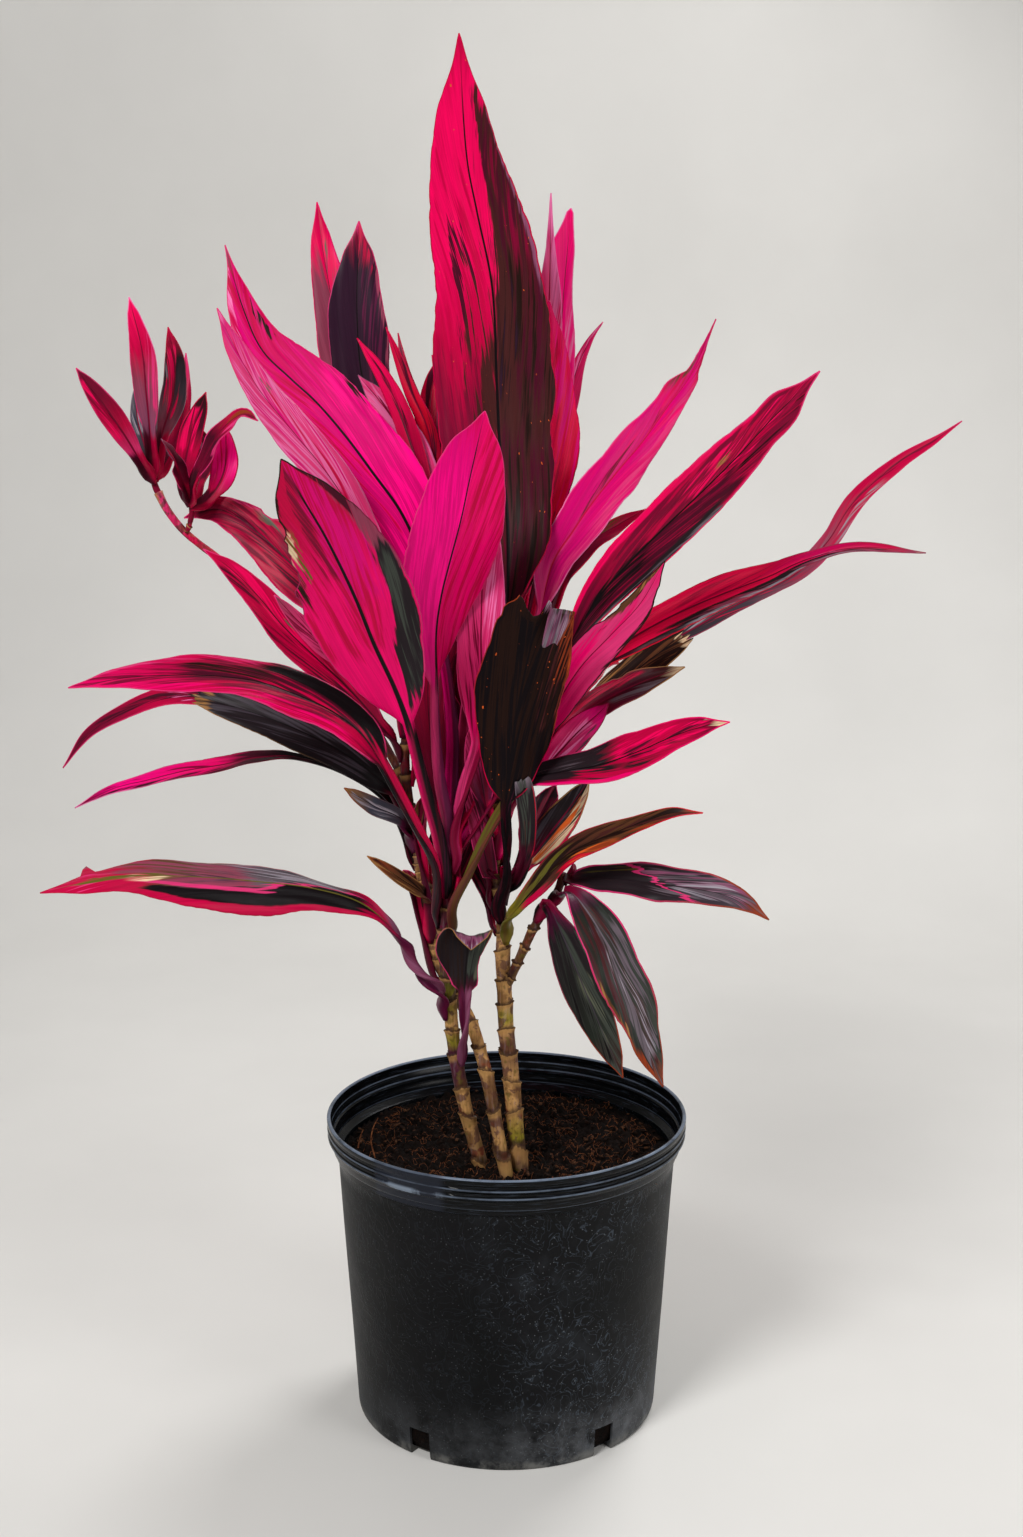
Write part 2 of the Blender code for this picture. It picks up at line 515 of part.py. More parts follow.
def turned(name, profile, steps, group, colour, roughness):
    """A turned shape. The profile starts on the axis and comes back to it under the foot."""
    shape = bpy.data.meshes.new(name)
    edges = [(i, i + 1) for i in range(len(profile) - 1)]
    shape.from_pydata([(radius, 0, height) for radius, height in profile], edges, [])
    made = put(name, shape, group, colour, roughness)
    screw = made.modifiers.new("turn", "SCREW")
    screw.axis = "Z"
    screw.steps = screw.render_steps = steps
    screw.use_merge_vertices = True
    screw.merge_threshold = WELD
    screw.use_smooth_shade = True
    return made


def settle(made):
    """Gives the object the mesh that its modifiers make."""
    shape = evaluated_mesh(made)
    made.modifiers.clear()
    made.data = shape
    return made


def cut(body, cutter):
    """Cuts the body with another object."""
    change = body.modifiers.new("cut", "BOOLEAN")
    change.operation = "DIFFERENCE"
    change.object = hide(cutter)
    change.solver = "EXACT"


def joined(body, extra):
    """The body with the extra pieces joined to it as one solid. The extra pieces are then gone."""
    pool = new_group("joining")
    for piece in extra:
        for home in list(piece.users_collection):
            home.objects.unlink(piece)
        pool.objects.link(piece)
    change = body.modifiers.new("join", "BOOLEAN")
    change.operation = "UNION"
    change.operand_type = "COLLECTION"
    change.collection = pool
    change.solver = "EXACT"
    settle(body)
    for piece in list(pool.objects):
        bpy.data.objects.remove(piece)
    bpy.data.collections.remove(pool)
    return body


def wall_radius(z):
    """The outer radius of the pot's tapered wall."""
    return FOOT_RADIUS + (BODY_TOP_RADIUS - FOOT_RADIUS) * z / (POT_HEIGHT - RIM_BAND)


def pot(group, cutters):
    """The nursery pot: a thin tapered shell with a ridged rim band and drain slots round its foot.

    Its profile goes up inside, over the rim, down past the band's two ridges, and down the wall to the foot.
    """
    band = POT_HEIGHT - RIM_BAND
    inner_foot = wall_radius(FLOOR) - WALL
    profile = (
        (0, FLOOR), (inner_foot - 0.004, FLOOR), (wall_radius(0.007) - WALL, 0.007),
        (wall_radius(band) - WALL, band), (RIM_RADIUS - 0.0062, band + 0.004),
        (RIM_RADIUS - 0.0056, band + 0.0135), (RIM_RADIUS - 0.0034, band + 0.0155),
        (RIM_RADIUS - 0.0028, POT_HEIGHT - 0.001), (RIM_RADIUS - 0.0016, POT_HEIGHT),
        (RIM_RADIUS - 0.0002, POT_HEIGHT - 0.0006), (RIM_RADIUS, POT_HEIGHT - 0.0022),
        (RIM_RADIUS - 0.0004, band + 0.0220), (RIM_RADIUS - 0.0014, band + 0.0205),
        (RIM_RADIUS - 0.0012, band + 0.0115), (RIM_RADIUS - 0.0028, band + 0.0095),
        (RIM_RADIUS - 0.0034, band + 0.0020), (wall_radius(band), band - 0.0010),
        (wall_radius(0.006), 0.006), (FOOT_RADIUS - 0.002, 0.0), (0, 0),
    )
    made = turned("pot", profile, POT_STEPS, group, BLACK, 0.45)
    for k in range(SLOTS):
        angle = math.radians(FIRST_SLOT + k * 360 / SLOTS)
        block = bmesh.new()
        bmesh.ops.create_cube(block, size=1)
        shape = bpy.data.meshes.new("slot")
        block.to_mesh(shape)
        block.free()
        slot = put(f"slot_cutter_{k}", shape, cutters, BLACK)
        slot.scale = (SLOT_WIDTH, SLOT_DEPTH, SLOT_HEIGHT * 2)
        slot.location = (FOOT_RADIUS * math.sin(angle), -FOOT_RADIUS * math.cos(angle), 0)
        slot.rotation_euler = (0, 0, angle)
        cut(made, slot)
    return made


def soil_relief(x, y):
    """How far the soil's surface stands above its mean level: six waves that cross, one after another."""
    waves = ((61, 17, 0.4), (-23, 71, 1.9), (97, -88, 0.7), (150, 45, 2.6), (-60, 170, 4.1), (210, 190, 5.0))
    return SOIL_RELIEF * sum(math.sin(a * x + b * y + c) for a, b, c in waves) / math.sqrt(len(waves))


def soil(group, cutters, canes):
    """The soil that fills the pot, uneven on top, with a plain hole for each cane."""
    inside = WALL + SOIL_CLEAR
    brim = SOIL_TOP - SOIL_EDGE
    top = wall_radius(brim) - inside
    foot = wall_radius(FOOT_BEVEL) - inside
    profile = [(top * k / SOIL_RINGS, SOIL_TOP) for k in range(SOIL_RINGS)]
    profile += [(top - SOIL_EDGE / 8, SOIL_TOP), (top, brim), (foot, FOOT_BEVEL)]
    profile += [(foot - FOOT_BEVEL + FLOOR, FLOOR + GAP), (0, FLOOR + GAP)]
    made = settle(turned("soil", profile, SOIL_STEPS, group, EARTH, 0.95))
    for vertex in made.data.vertices:
        if vertex.co.z > SOIL_TOP - 0.001:
            vertex.co.z += soil_relief(vertex.co.x, vertex.co.y)
    for name, (line, radii) in canes.items():
        foot_end = line[0] + unit(line[0] - line[1]) * GAP * 2
        buried = [k for k in range(len(line)) if line[k][2] < SOIL_TOP + SOCKET_RISE]
        socket = tube(f"{name}_socket", [foot_end, *line[buried][1:]], radii[buried] + GAP, cutters, EARTH)
        cut(made, socket)
    return made


def stem_line(points, buried=0.0):
    """A stem's axis and radii, swollen a little at the ring scars and plain where it is in the soil."""
    places = [np.array(seen(*p[:3])) for p in points]
    radii = [p[3] / 1000 for p in points]
    if buried:
        places.insert(0, places[0] + unit(places[0] - places[1]) * buried)
        radii.insert(0, radii[0])
    line = smooth(places)
    along = lengths(line)
    radius = np.interp(along, along[::PIECES], radii)
    rings = max(2, round((along[-1] - buried) / RING_PITCH))
    at = np.linspace(buried, along[-1], rings * 3 + 1)
    swell = np.where(np.arange(len(at)) % 3 == 2, 1 + RING_SWELL, 1.0)
    if buried:
        at = np.concatenate([[0, buried / 2], at])
        swell = np.concatenate([[1, 1], swell])
    return read(line, along, at), np.interp(at, along, radius) * swell


def foot_on(stem, height, side):
    """Where a leaf clasps a stem: two places for its stalk to start from, and the way out from the stem."""
    line, radii = stem
    z = height / 1000
    place = np.array([np.interp(z, line[:, 2], line[:, k]) for k in range(3)])
    beyond = np.array([np.interp(z + CLASP_RISE, line[:, 2], line[:, k]) for k in range(3)])
    if beyond[2] < z + CLASP_RISE:
        beyond = place + unit(line[-1] - line[-2]) * CLASP_RISE
    up = unit(beyond - place)
    out = toward(side, 0)
    out = unit(out - up * (out @ up))
    reach = np.interp(z, line[:, 2], radii) * (1 + RING_SWELL / 2) + CLASP_CLEAR + STALK / 2
    return place + out * reach, beyond + out * (reach + CLASP_LEAN), out, reach


def half_section(half, fold, bend, share):
    """Across and up from the midrib at this share of a half blade, which rises by fold and bends by bend."""
    bend = np.where(np.abs(bend) < 1e-4, 1e-4, bend)
    across = half * (np.sin(fold + bend * share) - np.sin(fold)) / bend
    up = half * (np.cos(fold) - np.cos(fold + bend * share)) / bend
    return across, up


def blade_half(u, wide, peak, full):
    """Half the width of a blade at u, from 0 at its start to 1 at its tip."""
    p = full * peak / (1 - peak)
    high = peak ** p * (1 - peak) ** full
    return wide / 2 * np.clip(u, 0, 1) ** p * np.clip(1 - u, 0, 1) ** full / high


def sheet(leaf, line, blade_from, out, reach, at, shares):
    """The leaf's middle surface, as rows of places, with the share of the stalk's thickness at each."""
    along = lengths(line)
    place = read(line, along, at)
    ahead = read(line, along, np.clip(at + LOOK_AHEAD, 0, along[-1]))
    heading = unit(ahead - read(line, along, np.clip(at - LOOK_AHEAD, 0, along[-1])))
    u = (at - blade_from) / (along[-1] - blade_from)
    inside = np.clip(u, 0, 1)[:, None]
    face = (1 - inside) * toward(*leaf.face[0]) + inside * toward(*leaf.face[1])
    face = unit(face - heading * np.sum(face * heading, axis=1, keepdims=True))
    start = -np.broadcast_to(out, heading.shape)
    start = unit(start - heading * np.sum(start * heading, axis=1, keepdims=True))
    turn = np.arctan2(np.sum(np.cross(face, start) * heading, axis=1), np.sum(face * start, axis=1))
    turn = np.unwrap(turn) * (1 - eased(at, CLASP_RISE * 0.8, max(blade_from, CLASP_RISE * 2.5)))
    normal = face * np.cos(turn)[:, None] + np.cross(heading, face) * np.sin(turn)[:, None]
    across = np.cross(heading, normal)

    in_blade = eased(at, blade_from - BLADE_LEAD, blade_from + BLADE_OPENS * (along[-1] - blade_from))
    clasping = 1 - eased(at, CLASP_RISE * 0.7, CLASP_RISE * 2.2)
    stalk = STALK_HALF + (leaf.clasp / 1000 - STALK_HALF) * clasping
    stalk = stalk * np.clip(1 - u * (u > 0), 0, 1) ** 2
    blade = blade_half(u * (1 - leaf.torn), leaf.wide / 1000, leaf.peak, leaf.full)
    fold = math.radians(leaf.fold) * in_blade + STALK_FOLD * (1 - in_blade) * (1 - clasping)
    bend_stalk = STALK_BEND * (1 - clasping) + stalk / reach * clasping
    bend = math.radians(leaf.droop) * in_blade + bend_stalk * (1 - in_blade)
    fade = np.sin(np.pi * inside[:, 0]) ** 0.6

    rows = np.zeros((len(at), len(shares), 3))
    weight = np.zeros((len(at), len(shares)))
    for k, share in enumerate(shares):
        side = leaf.left if share < 0 else leaf.right
        half = np.hypot(stalk, blade * side) + TIP_HALF
        x, h = half_section(half, fold, bend, abs(share))
        phase = math.sin(1.7 * leaf.wide + 2.1 * (share < 0)) * 3
        ripple = np.sin(2 * np.pi * leaf.waves * inside[:, 0] + phase)
        h = h + leaf.wave / 1000 * abs(share) ** 2 * fade * ripple
        rows[:, k] = place + across * (math.copysign(1, share) * x)[:, None] + normal * h[:, None]
        rib = (1 - inside[:, 0]) * (RIB if share == 0 else 0.0)
        weight[:, k] = np.maximum(1 - in_blade, rib)
    return rows, weight


def skin(name, rows, weight, group, colour):
    """A solid leaf: the sheet, thickened evenly to both sides, and more where the weight is greater."""
    count, across = rows.shape[:2]
    faces = []
    for i in range(count - 1):
        for k in range(across - 1):
            a, b, c, d = (j * across + m for j, m in ((i, k), (i, k + 1), (i + 1, k + 1), (i + 1, k)))
            faces += [(a, b, c), (a, c, d)] if k < across // 2 else [(a, b, d), (b, c, d)]
    shape = bpy.data.meshes.new(name)
    shape.from_pydata([tuple(p) for p in rows.reshape(-1, 3)], [], faces)
    shape.shade_smooth()
    made = put(name, shape, group, colour, 0.42)
    thick = made.vertex_groups.new(name="stalk")
    for index, value in enumerate(weight.reshape(-1)):
        thick.add([index], float(value), "REPLACE")
    shell = made.modifiers.new("thickness", "SOLIDIFY")
    shell.thickness = STALK
    shell.offset = 0
    shell.vertex_group = thick.name
    shell.thickness_vertex_group = BLADE / STALK
    shell.use_rim = True
    return made


def stations(blade_from, end):
    """Where along a leaf its rows lie: close at the foot, then even, and close again at the tip."""
    stalk_rows = max(1, round((blade_from - CLASP_RISE) / ROW_STEP))
    blade_rows = max(4, round((end - blade_from) / ROW_STEP))
    stalk = np.linspace(CLASP_RISE, blade_from, stalk_rows + 1)[:-1]
    blade = blade_from + (end - blade_from) * np.linspace(0, 1, blade_rows + 1)
    last = (blade[-2] + 2 * blade[-1]) / 3
    return np.concatenate([[0, CLASP_RISE / 2], stalk, blade[:-1], [last, blade[-1]]])


def shares_for(leaf):
    """The shares of a half blade at which its places lie: more across a wide leaf that the photo shows."""
    return (-1, -0.5, 0, 0.5, 1) if leaf.line and leaf.wide > BROAD else (-1, 0, 1)


def midrib(leaf, start, beyond):
    """The leaf's line from its foot to its tip, and how far along it the blade starts."""
    line = smooth([start, beyond, *(seen(*p) for p in leaf.line)])
    return line, lengths(line)[(leaf.stalk + 1) * PIECES]


def arch(leaf, start, beyond):
    """The same for a leaf at the back."""
    end = sum(leaf.long)
    pieces = max(4, round(end / BACK_STEP))
    points = [start, beyond]
    for k in range(pieces):
        angle = math.radians(leaf.lean + leaf.bow * ((k + 0.5) / pieces) ** BACK_CURL)
        ahead = toward(leaf.way, 0) * math.sin(angle) + np.array((0, 0, math.cos(angle)))
        points.append(points[-1] + ahead * end / pieces)
    return smooth(points), leaf.long[0] + CLASP_RISE


def leaf_solid(leaf, stem, group):
    """One leaf, with its stalk, clasping its stem."""
    start, beyond, out, reach = foot_on(stem, *leaf.foot)
    line, blade_from = arch(leaf, start, beyond) if leaf.line == () else midrib(leaf, start, beyond)
    at = stations(blade_from, lengths(line)[-1])
    rows, weight = sheet(leaf, line, blade_from, out, reach, at, shares_for(leaf))
    return skin(leaf.name, rows, weight, group, leaf.colour)


def tip_solid(tip, stem, group):
    """A growing tip in one piece, seated on the end of its stem."""
    line, radii = stem
    ahead = unit(line[-1] - line[-2])
    start = line[-1] + ahead * GAP
    places = [start, start + ahead * TIP_SEAT, *(np.array(seen(*p[:3])) for p in tip.stub)]
    body = tube(tip.name, places, [radii[-1], radii[-1], *(p[3] / 1000 for p in tip.stub)], group, tip.colour)
    blades = []
    for k, (points, wide, look) in enumerate(tip.blades):
        leaf = Leaf(f"{tip.name}_blade_{k}", tip.stem, (0, 0), points, 1, wide, (look, look), clasp=TIP_CLASP)
        line = smooth([seen(*p) for p in points])
        end = lengths(line)[-1]
        at = np.linspace(0, end, max(4, round(end / TIP_STEP)) + 1)
        rows, weight = sheet(leaf, line, end * TIP_BARE, -toward(*look), 1.0, at, (-1, 0, 1))
        blades.append(settle(skin(leaf.name, rows, weight, group, tip.colour)))
    return joined(body, blades)


def build():
    for old in list(bpy.data.objects):
        bpy.data.objects.remove(old)
    group = new_group(NAME)
    cutters = new_group("cutters")
    canes = {name: stem_line(points, CANE_DEPTH) for name, points in CANES.items()}
    branches = {name: stem_line(points) for name, points in BRANCHES.items()}
    pot(group, cutters)
    soil(group, cutters, canes)
    for name, (line, radii) in canes.items():
        grown = [tube(b, *branches[b], group, CANE) for b, cane in BRANCH_OF.items() if cane == name]
        body = tube(name, line, radii, group, CANE)
        if grown:
            joined(body, grown)
    stems = {**canes, **branches}
    for leaf in (*LEAVES, *BACK_LEAVES):
        leaf_solid(leaf, stems[leaf.stem], group)
    for tip in TIPS:
        tip_solid(tip, stems[tip.stem], group)


build()
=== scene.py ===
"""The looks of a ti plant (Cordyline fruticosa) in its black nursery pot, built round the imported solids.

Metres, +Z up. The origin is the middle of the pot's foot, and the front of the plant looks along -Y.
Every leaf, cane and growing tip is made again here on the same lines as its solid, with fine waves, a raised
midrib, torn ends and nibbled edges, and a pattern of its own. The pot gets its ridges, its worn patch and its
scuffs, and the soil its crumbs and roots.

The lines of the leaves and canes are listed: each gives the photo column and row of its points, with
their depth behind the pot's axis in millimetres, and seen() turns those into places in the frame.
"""
import math
import random
from dataclasses import dataclass

import bmesh
import bpy
import numpy as np
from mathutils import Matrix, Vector, noise


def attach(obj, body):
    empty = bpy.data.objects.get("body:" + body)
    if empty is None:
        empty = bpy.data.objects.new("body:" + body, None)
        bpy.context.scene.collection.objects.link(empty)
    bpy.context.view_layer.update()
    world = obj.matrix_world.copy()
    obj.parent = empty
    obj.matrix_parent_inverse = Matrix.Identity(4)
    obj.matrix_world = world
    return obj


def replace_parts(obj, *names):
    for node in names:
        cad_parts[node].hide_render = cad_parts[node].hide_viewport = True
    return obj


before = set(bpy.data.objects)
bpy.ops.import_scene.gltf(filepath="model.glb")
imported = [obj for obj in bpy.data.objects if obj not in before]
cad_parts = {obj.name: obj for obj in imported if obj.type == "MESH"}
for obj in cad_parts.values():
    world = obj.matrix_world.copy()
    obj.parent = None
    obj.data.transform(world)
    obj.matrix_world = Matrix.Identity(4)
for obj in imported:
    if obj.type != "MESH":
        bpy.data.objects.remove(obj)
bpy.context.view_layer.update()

# Where the photo was taken from, for seen()
EYE = Vector((0.004, -1.50, 0.815))
EYE_PITCH = 0.199
EYE_FOCAL = 2026.0
PHOTO_CENTRE = (511.5, 768.5)
PHOTO_HEIGHT = 1537

# The pot, as in the solids
POT_HEIGHT = 0.240
RIM_RADIUS = 0.140
BODY_TOP_RADIUS = 0.1315
FOOT_RADIUS = 0.118
WALL = 0.0024
FLOOR = 0.0030
RIM_BAND = 0.030
SLOTS = 5
SLOT_WIDTH = 0.018
SLOT_HEIGHT = 0.023
SLOT_DEPTH = 0.020
FIRST_SLOT = -33.5
POT_STEPS = 240

# The soil and the canes, as in the solids
SOIL_TOP = 0.212
SOIL_EDGE = 0.008
SOIL_CLEAR = 0.0008
CANE_DEPTH = 0.060
PIECES = 14  # of a smooth line, from each of its points to the next

# The leaves, as in the solids
STALK = 0.0027
STALK_HALF = 0.0034
CLASP_CLEAR = 0.0005
CLASP_RISE = 0.012
CLASP_LEAN = 0.0022
TIP_HALF = 0.0005
BACK_STEP = 0.045
BACK_CURL = 1.4
STALK_FOLD = math.radians(20)
STALK_BEND = math.radians(50)
BLADE_LEAD = 0.012
BLADE_OPENS = 0.16
LOOK_AHEAD = 0.002
TIP_SEAT = 0.003
TIP_CLASP = 3.0
TIP_BARE = 0.30
RING_SWELL = 0.07

# What this script adds to them
THIN = 0.00055
EDGE_THIN = 0.55  # of a blade's thickness is left at its edge
EDGE_REACH = 0.0012
RIB_HALF = 0.0013
RIB_RISE = 0.0007
RIB_GROOVE = RIB_RISE * 0.35
ROW_STEP = 0.0036
COLUMN_STEP = 0.0023
PLEAT = 0.00028
PLEAT_LONG = 0.0085
SMALL_WAVE = 0.28  # as high as a leaf's large waves
VEIN_SLANT = 0.10
NIBBLE = 0.03
BROAD_BITE = 0.3  # a bite longer than this share of the blade slopes all along and isn't ragged
BITE_SLOPE = 0.025
ROLL_BLEND = 0.2
LEAF_MIRROR = 0.09
POT_MIRROR = 0.12
SOIL_MIRROR = 0.1
CANE_ROW = 0.0011
CANE_SIDES = 26
RING_LIP = 0.0010
RING_FLARE = 0.0009
SCAR_DIP = 0.16  # of the way to the next ring
LIP_ABOVE, LIP_BELOW = 0.06, 0.05
BARK_FINE = 190
BARK_ROUGH = 0.03
BARK_FLUTES = 0.00016
SHEATH_FLARE = 0.0019
FOOT_TAPER = 0.45  # of a foot's width is there where it starts
FOOT_SUNK = 0.0020
SHEATH_LONG = 0.15
POINTED = 0.4  # how much narrower a blade is just before its tip
UNEVEN = 0.06
LEAF_GRAIN = 0.22
JAGS = 9
JAG_DEEP = 0.35  # of a torn leaf's width
SOIL_RINGS = 120
SOIL_STEPS = 260
BITS = 1500
ROOTS = 640
FULL_TURN = 6.2832
POT_UNEVEN = 0.00012

# The stretch of the rim band whose ridges are worn flat: in degrees from the front, from where to where in x,
# and how far it still stands out
WORN_FROM, WORN_TO = -39, -15
WORN_SIDES = -0.094, -0.050
WORN_RIDGE = 0.0012
# The pale scuff on it, as depths below the rim: where it fades in from below, and where it fades out above
WORN_BAND = (0.0185, 0.0165), (0.0145, 0.0120)
# Painted highlights along the rim's lip and ridges: depth below its top, half width, how strong
RIM_HIGHLIGHTS = ((0.0004, 0.0006, 0.9), (0.0086, 0.0005, 0.55), (0.0146, 0.0006, 0.6), (0.0250, 0.0004, 0.3))
# The radius of the rim's rounded lip, and the band below it. Inside, from its foot up: how far in from the
# rim's radius, and how high over its foot. Outside, from its top down: how far in, how deep, and the height
# of a ridge
LIP = 0.0015
BAND_INSIDE = ((0.0062, 0.004), (0.0061, 0.0085), (0.0056, 0.0093), (0.0055, 0.0135), (0.0044, 0.0146),
               (0.0041, 0.0192), (0.0035, 0.0200), (0.0030, RIM_BAND - 0.0040))
BAND_OUTSIDE = ((0.0001, 0.0042, 0), (0.0018, 0.0056, 0.0006), (0.0018, 0.0072, 0.0006),
                (0.0018, 0.0080, 0.0015), (0.0018, 0.0092, 0.0017), (0.0018, 0.0100, 0.0012),
                (0.0018, 0.0112, 0.0002), (0.0018, 0.0128, 0.0003), (0.0018, 0.0136, 0.0012),
                (0.0018, 0.0150, 0.0014), (0.0020, 0.0160, 0.0008), (0.0024, 0.0172, 0.0002),
                (0.0036, 0.0186, 0), (0.0042, 0.0200, 0), (0.0044, 0.0240, 0), (0.0052, 0.0252, 0),
                (0.0064, 0.0262, 0), (0.0068, RIM_BAND - 0.0004, 0))
# Two dry stalks on the soil: photo column and row, depth in mm
DRY_STALKS = (((358, 1148, -40), (360, 1138, -40), (363, 1130, -41)),
              ((375, 1158, -60), (371, 1140, -60), (374, 1126, -61), (378, 1118, -62)))

# The studio: how far back, how high, how far bent and how wide to each side its backdrop is, in metres
BACKDROP = (2.2, 4.0, 1.0, 6.0)
SKY_STRENGTH = 0.205
LIT = Vector((0, 0, 0.55))  # what the lights point at
# Each light's place, width and power
LIGHTS = (("key", (-1.1, -1.8, 2.3), 0.9, 56), ("fill", (1.9, -1.5, 1.2), 1.2, 20.5),
          ("back", (0.9, 1.4, 2.2), 1.0, 30))


def seen(column, row, depth):
    """The place that the photo shows at this column and row, depth mm behind the upright plane of the pot."""
    across = (column - PHOTO_CENTRE[0]) / EYE_FOCAL
    upward = (PHOTO_CENTRE[1] - row) / EYE_FOCAL
    ahead = math.cos(EYE_PITCH) + upward * math.sin(EYE_PITCH)
    rise = upward * math.cos(EYE_PITCH) - math.sin(EYE_PITCH)
    y = depth / 1000
    reach = (y - EYE.y) / ahead
    return Vector((EYE.x + across * reach, y, EYE.z + rise * reach))


# Each cane, from the soil up: photo column and row, depth in mm, radius in mm
CANES = {
    "cane_left": (
        (480, 1160, -35, 5.4), (464, 1102, -38, 5.3), (453, 1036, -42, 5.2), (449, 995, -45, 5.2),
        (444, 930, -48, 5.0), (448, 885, -50, 4.4), (450, 838, -50, 3.4),
    ),
    "cane_middle": (
        (505, 1168, -52, 4.9), (494, 1112, -49, 5.0), (484, 1064, -44, 4.9), (470, 1020, -37, 4.7),
        (450, 985, -30, 4.5), (434, 950, -26, 4.4), (432, 900, -22, 4.2), (422, 878, -20, 4.1),
        (417, 845, -17, 4.0), (408, 795, -10, 3.9), (405, 745, -3, 3.7), (414, 690, 4, 3.5),
        (428, 640, 10, 3.3), (436, 600, 14, 3.1),
    ),
    "cane_right": (
        (519, 1163, -40, 6.4), (514, 1110, -40, 6.3), (510, 1064, -39, 6.2), (506, 1025, -38, 6.0),
        (503, 954, -36, 5.6), (503, 932, -35, 5.0), (497, 880, -32, 3.7), (495, 827, -30, 3.6),
        (497, 790, -28, 3.6), (500, 755, -26, 3.4), (501, 715, -24, 3.0),
    ),
}

# Branches, from inside their cane outward
BRANCHES = {
    "branch_right": (
        (507, 985, -37, 3.6), (513, 973, -43, 3.6), (523, 951, -50, 3.5), (534, 927, -58, 3.4),
        (543, 913, -62, 3.3), (557, 893, -66, 3.2), (564, 872, -68, 3.0),
    ),
    "branch_far_left": (
        (408, 797, -10, 3.4), (396, 765, 4, 3.4), (360, 710, 20, 3.3), (320, 665, 30, 3.2),
        (285, 630, 38, 3.2), (250, 590, 46, 3.1), (219, 559, 52, 3.1), (199, 544, 56, 3.0),
        (183, 530, 58, 2.9), (167, 509, 60, 2.8), (158, 492, 61, 2.6),
    ),
    "shoot_far_left": ((186, 533, 58, 2.3), (189, 527, 54, 2.3), (191, 518, 51, 2.1)),
}
BRANCH_OF = {"branch_right": "cane_right", "branch_far_left": "cane_middle", "shoot_far_left": "cane_middle"}


@dataclass
class Leaf:
    """One leaf. line runs along its midrib from the stalk to the tip, and the blade starts at point stalk."""
    name: str
    stem: str
    foot: tuple  # height of its foot in mm, and the side of the stem it grows from: 0 front, 90 right
    line: tuple  # photo column, photo row, depth in mm
    stalk: int
    wide: float  # greatest width in mm
    face: tuple = ((0, 15), (0, 15))  # where its upper side looks, at the blade's start and at its tip
    fold: float = 16  # how far each half rises from the midrib, in degrees
    droop: float = -14  # how far each half bends on from there to its edge, in degrees
    wave: float = 1.2  # height of the edge's waves in mm
    waves: float = 2.5  # how many waves an edge has
    peak: float = 0.42  # where the blade is widest
    full: float = 0.85  # under 1 keeps the blade broad towards its ends
    torn: float = 0.0  # share of the blade's length that is torn away at the tip
    left: float = 1.0  # share of each half's width that is there
    right: float = 1.0
    clasp: float = 3.8  # half the width of its foot in mm


